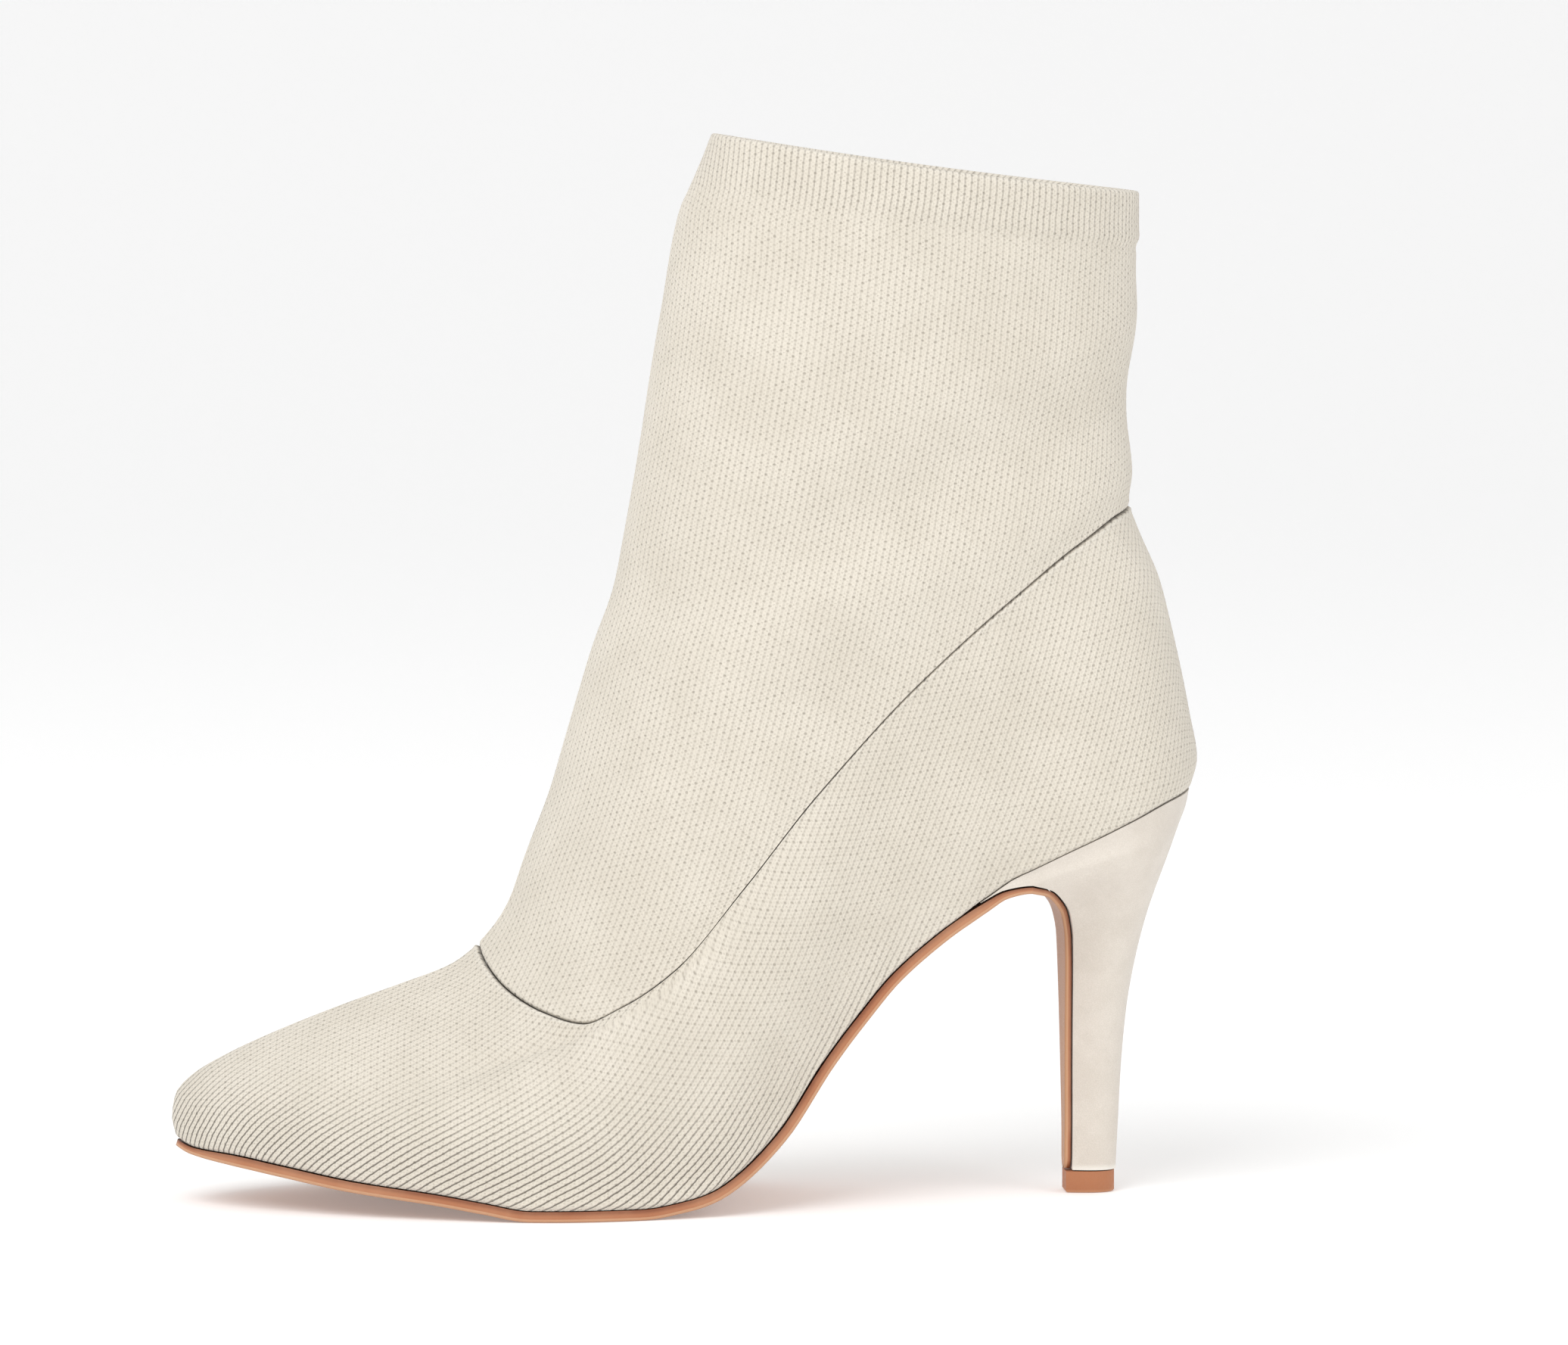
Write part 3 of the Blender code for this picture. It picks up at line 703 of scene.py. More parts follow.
def slack(x, z, side):
    """Slight unevenness of stretched cloth: three long waves that cross."""
    first = np.sin(x / 0.0131 + 0.7 * np.sin(z / 0.017) + side)
    second = np.sin(z / 0.0097 + 1.1 * np.sin(x / 0.021) - side)
    third = np.sin((x + z) / 0.0063 + 2.1 * side)
    return 0.06 * MM * (first + 0.8 * second + 0.4 * third)


def relief_of(turn, points, folds, edges, away, fades):
    """How far a panel stands out of its surface, in metres.

    It is the slack less the depth of the folds, times an ease from 0 at each edge
    that fades names to 1 at its length away. To that comes, for each row of edges,
    its height times a bell curve over its reach, centred at its distance off the edge.
    """
    x, z = points[..., 0], points[..., 2]
    out = slack(x, z, np.sign(turn)) - fold_depth(folds, x, z)
    for edge, reach in fades.items():
        out = out * ease(away[edge], 0, reach)
    for edge, off, reach, height in edges[1:]:
        out = out + height * MM * bell(away[edge] - off * MM, reach * MM)
    return out


def new_object(name, mesh, material, node):
    """Links a finished mesh as a piece that rides on the boot and replaces its solid."""
    mesh.materials.append(material)
    piece = bpy.data.objects.new(name, mesh)
    bpy.context.scene.collection.objects.link(piece)
    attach(piece, "root")
    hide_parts(node)


def give_values(mesh, name, grid):
    """Adds one number for each point of a mesh, under the name given."""
    layer = mesh.attributes.new(name, "FLOAT", "POINT")
    layer.data.foreach_set("value", grid.reshape(-1).astype(np.float32))


def ring_quads(ring, next_ring, place, next_place, columns):
    """Four-cornered faces from each place of a ring to the next place and the next ring."""
    corners = ((ring, place), (ring, next_place), (next_ring, next_place), (next_ring, place))
    return np.stack([row * columns + at for row, at in corners], axis=-1).reshape(-1, 4)


def picked_rings(count, number):
    """Numbers of the rings that a coarser inner wall follows, spread evenly over all."""
    return np.linspace(0, count - 1, number).round().astype(int)


def middle_shift():
    """How far the boot moves sideways so that its lower panel sits as the solid does."""
    turn = np.linspace(0, 2 * np.pi, 64, endpoint=False)
    share = np.linspace(0, 1, 40)[:, None]
    y = upper_surface(turn, share * np.ones_like(turn))[..., 1]
    low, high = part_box("upper")
    return (low[1] + high[1]) / 2 - (y.max() + y.min()) / 2


def knit_shell(name, outer, inner, corner_maps, point_values, material, node):
    """A closed wall from an outer and an inner grid, each from its low to its high ring.

    The grid runs from back seam to back seam, so its last column lies on its first.
    corner_maps: name to two grids, for UV maps. point_values: name to one grid.
    """
    rings = np.concatenate([outer, inner[::-1]]) + (0, middle_shift(), 0)
    count, columns = rings.shape[0], rings.shape[1] - 1
    ring, place = np.meshgrid(np.arange(count), np.arange(columns), indexing="ij")
    next_ring, next_place = (ring + 1) % count, (place + 1) % columns
    quads = ring_quads(ring, next_ring, place, next_place, columns)
    mesh = bpy.data.meshes.new(name)
    mesh.vertices.add(count * columns)
    mesh.loops.add(quads.size)
    mesh.polygons.add(len(quads))
    mesh.vertices.foreach_set("co", rings[:, :-1].reshape(-1).astype(np.float32))
    mesh.loops.foreach_set("vertex_index", quads.reshape(-1).astype(np.int32))
    mesh.polygons.foreach_set("loop_start", np.arange(0, quads.size, 4, dtype=np.int32))
    mesh.update(calc_edges=True)
    picked = picked_rings(len(outer), len(inner))

    def all_rings(grid):
        """The grid's outer rings, then its picked rings from the high one to the low one."""
        grid = grid * np.ones(outer.shape[:2])
        return np.concatenate([grid, grid[picked][::-1]])

    for map_name, (u, v) in corner_maps.items():
        layer = mesh.uv_layers.new(name=map_name)
        both = np.stack([all_rings(u), all_rings(v)], axis=-1)
        corners = (
            both[ring, place],
            both[ring, place + 1],
            both[next_ring, place + 1],
            both[next_ring, place],
        )
        layer.data.foreach_set("uv", np.stack(corners, axis=2).reshape(-1).astype(np.float32))
    for value_name, grid in point_values.items():
        give_values(mesh, value_name, all_rings(grid)[:, :-1])
    mesh.validate()
    mesh.shade_smooth()
    new_object(name, mesh, material, node)


def ring_steps(count, millimetre):
    """Shares for the rings of a panel, crowded to both edges.

    Ten rings stand at fixed distances in from each edge, the rest evenly between.
    millimetre: the share that a millimetre takes at each place round the panel.
    """
    close = np.array([0.0, 0.12, 0.25, 0.4, 0.6, 0.85, 1.15, 1.5, 2.0, 2.6])[:, None]
    low = close * millimetre
    high = 1 - low[::-1]
    middle = np.linspace(0, 1, count - 2 * len(close) + 2)[1:-1, None]
    return np.concatenate([low, low[-1] + (high[0] - low[-1]) * middle, high])


def panel_grid(surface, rings, low_gap, high_gap):
    """Turns, shares, heights, points and normals of a panel's outer face.

    Its rings stop short of the low and the high edge by the gaps given.
    """
    turn = np.linspace(-np.pi, np.pi, COLUMNS + 1)
    height = heights_of(surface, turn)
    share = np.clip(ring_steps(rings, MM / height), low_gap / height, 1 - high_gap / height)
    return turn, share, height, surface(turn, share), normals_of(surface, turn, share)


def from_back_seam(turn, points):
    """Distance from the back seam: how far a point lies to the side of the middle.

    The toe's half gets a centimetre more, so no seam shows there.
    """
    return np.abs(points[..., 1]) + 10 * MM * (np.abs(turn) < np.pi / 2)


def knit_maps(surface, wales, turn, share, away, height, settings):
    """UV maps of a panel: the knit, the seam and the back seam.

    Knit counts wales and courses. Seam is the length run along it over the needle
    pitch, and Back seam the height over the length of a stitch. The second part of
    both is the distance off the seam in millimetres.
    """
    seam_run = run_along(shaft_surface(turn, np.zeros((1, 1)) * turn)[0])
    return {
        "Knit": knit_numbers(surface, wales, turn, share, settings),
        "Seam": (seam_run / settings.seam_pitch, away["seam"] / MM),
        "Back seam": (height / BACK_STITCH, away["back"] / MM),
    }


def closed_loft(name, rings, material, node, values=()):
    """A closed solid through rings of points, with strips across its first and last ring.

    values: pairs of a point attribute's name and its number at each point of the rings.
    """
    rings = rings + (0, middle_shift(), 0)
    count, columns = rings.shape[:2]
    ring, place = np.meshgrid(np.arange(count - 1), np.arange(columns), indexing="ij")
    walls = ring_quads(ring, ring + 1, place, (place + 1) % columns, columns)
    step = np.arange(columns // 2 - 1)
    cap = np.stack([step, step + 1, columns - 2 - step, columns - 1 - step], axis=-1)
    faces = np.vstack([walls, cap[:, ::-1], cap + (count - 1) * columns])
    mesh = bpy.data.meshes.new(name)
    mesh.from_pydata(rings.reshape(-1, 3).tolist(), [], faces.tolist())
    for value_name, grid in values:
        give_values(mesh, value_name, grid * np.ones((count, columns)))
    shape = bmesh.new()
    shape.from_mesh(mesh)
    bmesh.ops.remove_doubles(shape, verts=shape.verts, dist=2e-6)
    bmesh.ops.recalc_face_normals(shape, faces=shape.faces)
    shape.to_mesh(mesh)
    shape.free()
    mesh.shade_smooth()
    mesh.set_sharp_from_angle(angle=np.radians(38))
    new_object(name, mesh, material, node)


def sole_stations():
    """Side view line of the sole's top face down to the flap's end, with both half widths."""
    crest_turn = np.arccos(1 - 2 * (CREST[0] - TOE_X) / (SEAT_X - TOE_X))
    x = feather_line(np.linspace(0, crest_turn, SOLE_STEPS))[:, 0]
    x = np.unique(np.concatenate([x[:-1], SEAT[:1, 0], CREST[:1]]))
    sole = np.stack([x, sole_height(x)], axis=-1)
    outer = tread_half(x, True)
    inner = tread_half(x, False)
    end_half = BALL_WIDTH * BREAST_LINE[-1][2]
    round_start = 1 - end_half / run_along(BREAST)[-1]
    over_crest = np.linspace(0, CREST_SHARE, CREST_STEPS)[1:]
    down_flap = np.linspace(CREST_SHARE, round_start, FLAP_STEPS)[1:]
    round_end = np.sin(np.linspace(0, np.pi / 2, FLAP_END_STEPS))[1:]
    share = np.concatenate([over_crest, down_flap, round_start + (1 - round_start) * round_end])
    flap = along_line(BREAST, share)
    closing = np.clip((share - round_start) / (1 - round_start), 0, 1)
    end = np.sqrt(np.clip(1 - closing**2, 0, 1))
    places = run_share(BREAST)
    halves = column(BREAST_LINE, "half") * BALL_WIDTH
    flap_outer = through(places, np.append(outer[-1], halves), share) * end
    flap_inner = through(places, np.append(inner[-1], halves), share) * end
    line = np.vstack([sole, flap])
    return line, np.append(outer, flap_outer), np.append(inner, flap_inner)


def leather_rings():
    """Rings across the leather sole, and how far each point is up its edge.

    Seen across, the board has a small round at the top of each edge and a wider one
    at its foot, worn softer. The first point repeats the outer end of the top round,
    so the top face lies lower by that round, which folds over it as a lip. How far
    up the edge runs from 0 on the tread to 1 at the knit.
    """
    line, outer, inner = sole_stations()
    share = run_share(line)
    crest = share[np.argmin(np.linalg.norm(line - CREST, axis=1))]
    places = (0, TOE_TAPER, crest - CREST_TAPER, crest, 1)
    whole, flap = SOLE_THICKNESS, FLAP_THICKNESS
    depth = through(places, (TOE_THICKNESS, whole, whole, flap, flap), share)
    normals = side_normals(line)
    foot = np.minimum(FOOT_ROUND, 0.45 * depth)
    angle = np.linspace(0, np.pi / 2, EDGE_STEPS)
    rings, edge = [], []
    for way, half in ((-1, outer), (1, inner)):
        points = [(half, EDGE_ROUND, 1.0)]
        for a in angle[::-1]:
            across = np.maximum(half - EDGE_ROUND * (1 - np.cos(a)), 0)
            points.append((across, EDGE_ROUND * (1 - np.sin(a)), 1.0))
        for down in (0.25, 0.5, 0.75):
            points.append((half, EDGE_ROUND + (depth - foot - EDGE_ROUND) * down, 1 - 0.8 * down))
        for a in angle:
            across = np.maximum(half - foot * (1 - np.cos(a)), 0)
            points.append((across, depth - foot * (1 - np.sin(a)), 0.15 * (1 - a / angle[-1])))
        for inset in (0.75, 0.5, 0.25):
            points.append((half * inset, depth, 0.0))
        side = []
        for across, below, _ in points:
            place = line + normals * np.reshape(below * np.ones(len(line)), (-1, 1))
            y = swing(line[:, 0]) + way * across
            side.append(np.stack([place[:, 0], y, place[:, 1]], axis=-1))
        rings += side[::-way]
        edge += [value for _, _, value in points][::-way]
    return np.stack(rings, axis=1), np.array(edge), share


def heel_front():
    """Side view line and half widths of the heel's front, from its foot to the wedge tip."""
    line, outer, inner = sole_stations()
    first = np.argmin(np.abs(line[:, 0] - SEAT[0, 0]))
    last = len(line) - FLAP_END_STEPS
    keep = slice(last, first - 1, -1)
    off_sole = line - side_normals(line) * CLEARANCE
    return off_sole[keep], outer[keep], inner[keep]


def heel_round(share, belly):
    """Half width of a section that is flat in front and round behind, as a share of its front's.

    The square root of one minus the share of the way back to a power, widened by the
    belly on the way.
    """
    closing = np.sqrt(np.clip(1 - share**HEEL_ROUND, 0, 1))
    return closing * (1 + HEEL_BELLY * share * belly)


def heel_rings():
    """Sections of the covered heel, fanning from its level foot to the sloping seat.

    Each section is flat in front and round behind, and turns into the tread's own
    outline near the seat.
    """
    line, outer, inner = heel_front()
    foot = along_line(BREAST, np.array([1.0]))[0]
    foot = np.array([foot[0] + CLEARANCE, LIFT_TOP])
    line = np.vstack([foot, line])
    outer = np.append(outer[0], outer)
    inner = np.append(inner[0], inner)
    share = run_share(line)
    back = through(column(HEEL_SECTIONS, "front"), column(HEEL_SECTIONS, "back"), share)
    seat = through(column(HEEL_SECTIONS, "front"), column(HEEL_SECTIONS, "seat"), share)
    rear_z = LIFT_TOP + (HEEL_HEIGHT - LIFT_TOP) * back
    rear = np.stack([through(HEEL_REAR[:, 1], HEEL_REAR[:, 0], rear_z), rear_z], axis=-1)
    back_share = np.sin(np.linspace(0, np.pi / 2, HEEL_SIDE_STEPS))
    rings = []
    for way, half, on_outer in ((1, outer, True), (-1, inner, False)):
        side = []
        for step in back_share:
            straight = line * (1 - step) + rear * step
            seat_x = line[-1, 0] + (SEAT_X - line[-1, 0]) * step
            on_seat = np.array([seat_x, feather_height(seat_x)])
            drop = on_seat - (line[-1] * (1 - step) + rear[-1] * step)
            place = straight + drop * (seat**2)[:, None]
            round_back = (half + HEEL_MARGIN * (1 - seat)) * heel_round(step, 1 - seat)
            tread = tread_half(np.full(len(line), seat_x), on_outer)
            wide = round_back * (1 - seat) + tread * seat
            y = swing(place[:, 0]) - way * wide
            side.append(np.stack([place[:, 0], y, place[:, 1]], axis=-1))
        rings += side[::way]
    return np.stack(rings, axis=1)


def lift_rings():
    """Top lift: flat in front, round behind, with a small round at its lower edge."""
    front = BREAST[-1, 0] - FLAP_THICKNESS + LIFT_INSET
    rear = HEEL_REAR[0, 0] - LIFT_INSET
    half = BALL_WIDTH * BREAST_LINE[-1][2] + HEEL_MARGIN
    share = np.sin(np.linspace(0, np.pi / 2, LIFT_SIDE_STEPS))
    middle_x = (front + rear) / 2
    rings = []
    for height, shrink in ((0.0, 0.4), (0.12, 0.12), (0.4, 0.0), (LIFT_HEIGHT / MM, 0.0)):
        x = front + (rear - front) * share
        y = half * heel_round(share, 1)
        outline = np.concatenate([np.stack([x, -y], -1), np.stack([x, y], -1)[::-1]])
        fit = 1 - shrink * MM / half
        outline = (outline - (middle_x, 0)) * fit + (middle_x, 0)
        rings.append(np.column_stack([outline, np.full(len(outline), height * MM)]))
    return np.stack(rings)


class Finish:
    """A Principled material with short calls that add and link its nodes."""

    def __init__(self, name):
        """Adds the material and keeps its nodes, its links and its shader."""
        self.material = bpy.data.materials.new(name)
        self.material.use_nodes = True
        self.nodes = self.material.node_tree.nodes
        self.links = self.material.node_tree.links
        self.shader = self.nodes["Principled BSDF"]

    def give(self, socket, value):
        """Links a socket, or sets a number or an opaque colour on an input."""
        if isinstance(value, bpy.types.NodeSocket):
            self.links.new(value, socket)
        elif isinstance(value, (int, float)):
            socket.default_value = value
        else:
            socket.default_value = (*value, 1.0)

    def math(self, operation, *values):
        """One math node: the operation's own formula on the values."""
        node = self.nodes.new("ShaderNodeMath")
        node.operation = operation
        for socket, value in zip(node.inputs, values):
            self.give(socket, value)
        return node.outputs[0]

    def total(self, first, *others):
        """The sum: the first value plus each of the others."""
        for other in others:
            first = self.math("ADD", first, other)
        return first

    def times(self, first, *others):
        """The product: the first value times each of the others."""
        for other in others:
            first = self.math("MULTIPLY", first, other)
        return first

    def smooth(self, value, low, high, start=0.0, end=1.0):
        """A smooth step from start to end as the value goes from low to high."""
        node = self.nodes.new("ShaderNodeMapRange")
        node.interpolation_type = "SMOOTHSTEP"
        for socket, given in zip(node.inputs[:5], (value, low, high, start, end)):
            self.give(socket, given)
        return node.outputs[0]

    def wave(self, value, turns):
        """Cosine of the value, with that many turns to each unit."""
        return self.math("COSINE", self.times(value, 2 * np.pi * turns))

    def centred(self, value):
        """Moves a value from 0 to 1 to one from minus a half to a half."""
        return self.math("SUBTRACT", value, 0.5)

    def band(self, value, centre, whole, end, most=1.0):
        """The most within a distance of the centre, falling to 0 at the end distance."""
        off = self.math("ABSOLUTE", self.math("SUBTRACT", value, centre))
        return self.smooth(off, whole, end, most, 0.0)

    def mix(self, share, first, second):
        """A colour that goes from the first to the second as the share goes from 0 to 1."""
        node = self.nodes.new("ShaderNodeMix")
        node.data_type = "RGBA"
        self.give(node.inputs[0], share)
        self.give(node.inputs[6], first)
        self.give(node.inputs[7], second)
        return node.outputs[2]

    def uv(self, name):
        """The two parts of a UV map."""
        node = self.nodes.new("ShaderNodeUVMap")
        node.uv_map = name
        split = self.nodes.new("ShaderNodeSeparateXYZ")
        self.links.new(node.outputs[0], split.inputs[0])
        return split.outputs[0], split.outputs[1]

    def value(self, name):
        node = self.nodes.new("ShaderNodeAttribute")
        node.attribute_name = name
        return node.outputs["Fac"]

    def places(self):
        """Object coordinates, and the height in them."""
        node = self.nodes.new("ShaderNodeTexCoord")
        split = self.nodes.new("ShaderNodeSeparateXYZ")
        self.links.new(node.outputs["Object"], split.inputs[0])
        return node.outputs["Object"], split.outputs["Z"]

    def noise(self, vector, scale, detail=2.0, roughness=0.5):
        """Noise from 0 to 1; the scale is in patches to each unit of the vector."""
        node = self.nodes.new("ShaderNodeTexNoise")
        self.links.new(vector, node.inputs["Vector"])
        node.inputs["Scale"].default_value = scale
        node.inputs["Detail"].default_value = detail
        node.inputs["Roughness"].default_value = roughness
        return node.outputs["Fac"]

    def random(self, value):
        """A random number for each whole number."""
        node = self.nodes.new("ShaderNodeTexWhiteNoise")
        node.noise_dimensions = "1D"
        self.links.new(value, node.inputs["W"])
        return node.outputs["Value"]

    def bump(self, height):
        """Bumps of the height given in millimetres."""
        node = self.nodes.new("ShaderNodeBump")
        node.inputs["Strength"].default_value = 1.0
        node.inputs["Distance"].default_value = MM
        self.links.new(height, node.inputs["Height"])
        self.links.new(node.outputs[0], self.shader.inputs["Normal"])

    def set(self, **values):
        """Sets the shader's sockets; a name's underscores stand for spaces."""
        for name, value in values.items():
            self.give(self.shader.inputs[name.replace("_", " ")], value)


def knit_finish(name, settings):
    """Knit of doubled wales: two leaning legs to each wale, with small dark holes between.

    Small holes repeat every half wale and half course, staggered, and every other
    one is deeper; their dark is painted shade. Where the cloth is stretched open, the
    line between two wales is a groove darkened with painted shade. Needle pits run
    along the seams, one to each unit of the Seam map; they, the seam lines and the
    back seam's stitches are painted shade too. Pale fuzz lightens the lower edge, a
    painted highlight the ridge beside the seam, and both the collar rim.
    """
    net = Finish(name)
    place, _ = net.places()
    wale, course = net.uv("Knit")
    seam_run, seam_off = net.uv("Seam")
    back_run, back_off = net.uv("Back seam")
    wander = net.centred(net.noise(place, 900.0, 1.0))
    drift = net.centred(net.noise(place, 180.0, 1.0))
    wale = net.total(wale, net.times(wander, 0.16), net.times(drift, 0.12))
    course = net.total(course, net.times(wander, 0.22), net.times(drift, 0.25))
    leg = net.wave(wale, 2.0)
    rib = net.wave(wale, 1.0)
    hole = net.smooth(net.times(rib, net.wave(course, 2.0)), 0.25, 1.0)
    deep = net.smooth(net.times(net.wave(wale, 0.5), net.wave(course, 1.0)), 0.35, 1.0)
    groove = net.times(net.smooth(rib, 0.72, 1.0), net.value("open"))
    uneven = net.smooth(net.noise(place, 1500.0, 1.0), 0.3, 0.7, 0.55, 1.3)
    holes = net.times(net.total(net.times(hole, 0.45), net.times(deep, 0.65)), uneven)

    # Needle pits: slanted ovals round the middle of each unit, some fainter than others, and a thin line
    # along the seam, all painted shade
    chance = net.random(net.math("FLOOR", seam_run))
    beside = net.times(net.centred(net.math("FRACT", seam_run)), settings.seam_pitch / MM)
    beside = net.total(beside, net.times(net.centred(chance), 0.9), net.times(seam_off, 0.5))
    wide = net.times(beside, 1.9)
    high = net.times(seam_off, 1.55)
    length = net.math("SQRT", net.total(net.times(wide, wide), net.times(high, high)))
    pit = net.times(net.smooth(length, 0.35, 1.0, 1.0, 0.0), net.smooth(chance, 0.05, 0.7, 0.25, 1.0))
    seam = net.math("MAXIMUM", pit, net.smooth(seam_off, 0.05, 0.42, 0.6, 0.0))

    # Back seam: a line of short stitches beside the closing line; the stitches and the closing line are
    # painted shade
    stitch = net.smooth(net.wave(back_run, 1.0), -0.1, 0.7)
    back = net.times(net.band(back_off, 0.95, 0.1, 0.45), stitch, 0.7)
    back = net.math("MAXIMUM", back, net.smooth(back_off, 0.05, 0.4, 0.6, 0.0))
    seams = net.math("MAXIMUM", seam, back)

    fibre = net.noise(place, 5200.0, 2.0, 0.7)
    height = net.total(net.times(leg, -0.035), net.times(rib, -0.03), net.times(holes, -0.16))
    height = net.total(height, net.times(groove, -0.3), net.times(seams, -0.3))
    net.bump(net.total(height, net.times(fibre, 0.05)))

    clouded = net.smooth(net.noise(place, 60.0, 3.0), 0.3, 0.7)
    yarn = net.mix(clouded, settings.knit_shade, settings.knit_colour)
    yarn = net.mix(net.smooth(fibre, 0.2, 0.8, 0.35, 0.0), yarn, settings.hole_shade_and_fleck_colour)
    # Painted shade in the small holes between stitches
    yarn = net.mix(net.times(holes, 0.42), yarn, settings.hole_shade_and_fleck_colour)
    # Painted shade in the open grooves, then in the needle pits, seam lines and back seam stitches
    yarn = net.mix(net.times(groove, 0.85), yarn, settings.groove_shade_colour)
    yarn = net.mix(net.times(seams, 0.8), yarn, settings.groove_shade_colour)
    # Pale fuzz at the lower edge; painted highlight on the ridge beside the seam; both at the collar rim
    yarn = net.mix(net.times(net.value("pale_fuzz_highlight"), 0.4), yarn, settings.fuzz_highlight_colour)
    net.set(Base_Color=yarn, Roughness=0.92, Sheen_Weight=0.25, Sheen_Roughness=0.5)
    net.set(Specular_IOR_Level=0.2)
    return net.material


def leather_finish(settings):
    """Tan leather: a darker painted edge, a paler rim where it wears, fine pores and scuffs."""
    net = Finish("tan_leather")
    place, _ = net.places()
    edge = net.value("edge")
    pores = net.noise(place, 2600.0, 2.0, 0.6)
    cloud = net.noise(place, 55.0, 4.0, 0.6)
    scuff = net.smooth(net.noise(place, 320.0, 3.0, 0.7), 0.58, 0.75)
    face = net.mix(cloud, settings.sole_face, settings.sole_face_shade)
    face = net.mix(net.times(scuff, 0.25), face, settings.sole_rim)
    side = net.mix(net.smooth(edge, 0.45, 1.0), settings.sole_edge, settings.sole_edge_dark)
    side = net.mix(net.smooth(cloud, 0.35, 0.75, 0.0, 0.3), side, settings.sole_rim)
    tan = net.mix(net.smooth(edge, 0.02, 0.14), face, side)
    tan = net.mix(net.band(edge, 0.12, 0.03, 0.1, 0.7), tan, settings.sole_rim)
    on_flap = net.times(net.value("flap"), net.smooth(edge, 0.05, 0.3, 1.0, 0.0), 0.55)
    tan = net.mix(on_flap, tan, settings.flap_face)
    net.set(Base_Color=tan, Roughness=net.smooth(pores, 0.3, 0.7, 0.42, 0.6))
    net.set(Specular_IOR_Level=0.45, Coat_Weight=0.12, Coat_Roughness=0.35)
    net.bump(net.total(net.times(pores, 0.05), net.times(cloud, 0.12), net.times(scuff, -0.03)))
    return net.material


def suede_finish(settings):
    """Heel cover: matte nap, clouded, with a paler fuzzy band at its lower rim."""
    net = Finish("cream_suede")
    place, z = net.places()
    nap = net.noise(place, 3800.0, 3.0, 0.75)
    cloud = net.noise(place, 130.0, 3.0, 0.6)
    cover = net.mix(net.smooth(cloud, 0.3, 0.7), settings.suede_colour, settings.suede_shade)
    cover = net.mix(net.smooth(nap, 0.35, 0.75, 0.25, 0.0), cover, settings.hole_shade_and_fleck_colour)
    rim = net.smooth(z, LIFT_TOP, LIFT_TOP + 1.6 * MM, 0.8, 0.0)
    cover = net.mix(rim, cover, settings.fuzz_highlight_colour)
    net.set(Base_Color=cover, Roughness=0.95, Sheen_Weight=0.35, Sheen_Roughness=0.45)
    net.set(Specular_IOR_Level=0.15)
    net.bump(net.total(net.times(nap, 0.09), net.times(cloud, 0.15)))
    return net.material


def lift_finish(settings):
    """Top lift: hard rubber in the leather's tan, with a worn paler lower edge."""
    net = Finish("tan_top_lift")
    place, z = net.places()
    grain = net.noise(place, 1800.0, 3.0, 0.6)
    cloud = net.noise(place, 260.0, 2.0)
    tan = net.mix(cloud, settings.lift_colour, settings.sole_edge)
    tan = net.mix(net.smooth(z, 0.0, 0.9 * MM, 0.5, 0.0), tan, settings.sole_rim)
    net.set(Base_Color=tan, Roughness=net.smooth(grain, 0.3, 0.7, 0.45, 0.65))
    net.bump(net.times(grain, 0.06))
    return net.material


def lining_finish(settings):
    """Insole cover: smooth pale leather with fine pores."""
    net = Finish("cream_lining")
    place, _ = net.places()
    pores = net.noise(place, 2200.0, 2.0, 0.6)
    cloud = net.noise(place, 70.0, 3.0)
    pale = net.mix(cloud, settings.lining_colour, settings.knit_shade)
    net.set(Base_Color=pale, Roughness=0.7)
    net.bump(net.times(pores, 0.04))
    return net.material


def shade(name, description, default):
    """A colour that a user can change."""
    return FloatVectorProperty(name=name, description=description, subtype="COLOR", default=default)


def stride(name, description, default, least):
    """A length that a user can change, down to the least one."""
    return FloatProperty(
        name=name, description=description, default=default, min=least, subtype="DISTANCE", unit="LENGTH"
    )


class BootKnitSettings(PropertyGroup):
    """Sizes and colours of the knit, the suede and the lining."""

    wale_width: stride("Wale width", "From one wale to the next", 1.45 * MM, 0.5 * MM)
    course_height: stride(
        "Course height", "From one deep hole to the next along a wale", 1.74 * MM, 0.5 * MM
    )
    seam_pitch: stride("Needle pitch", "From one needle pit of the seam to the next", 2.6 * MM, 1.0 * MM)
    knit_colour: shade("Yarn", "Lit yarn", (0.80, 0.745, 0.65))
    knit_shade: shade("Yarn shade", "Yarn where it clouds darker", (0.75, 0.695, 0.60))
    # Painted shade in the knit's holes; also the darker tone of random fibre flecks in the knit and the
    # suede
    hole_shade_and_fleck_colour: shade("Holes", "Small holes between stitches", (0.42, 0.37, 0.29))
    # Painted shade in open grooves, needle pits and seam lines
    groove_shade_colour: shade("Grooves", "Open grooves and needle pits", (0.16, 0.13, 0.10))
    # Pale fuzz on cut edges and the heel cover's rim; on the knit also a painted highlight beside the
    # seam and at the collar rim
    fuzz_highlight_colour: shade("Fuzz", "Pale fibre ends along cut edges", (0.88, 0.85, 0.78))
    suede_colour: shade("Suede", "Heel cover", (0.78, 0.72, 0.65))
    suede_shade: shade("Suede shade", "Heel cover where it clouds darker", (0.73, 0.67, 0.60))
    lining_colour: shade("Lining", "Insole cover", (0.70, 0.63, 0.52))


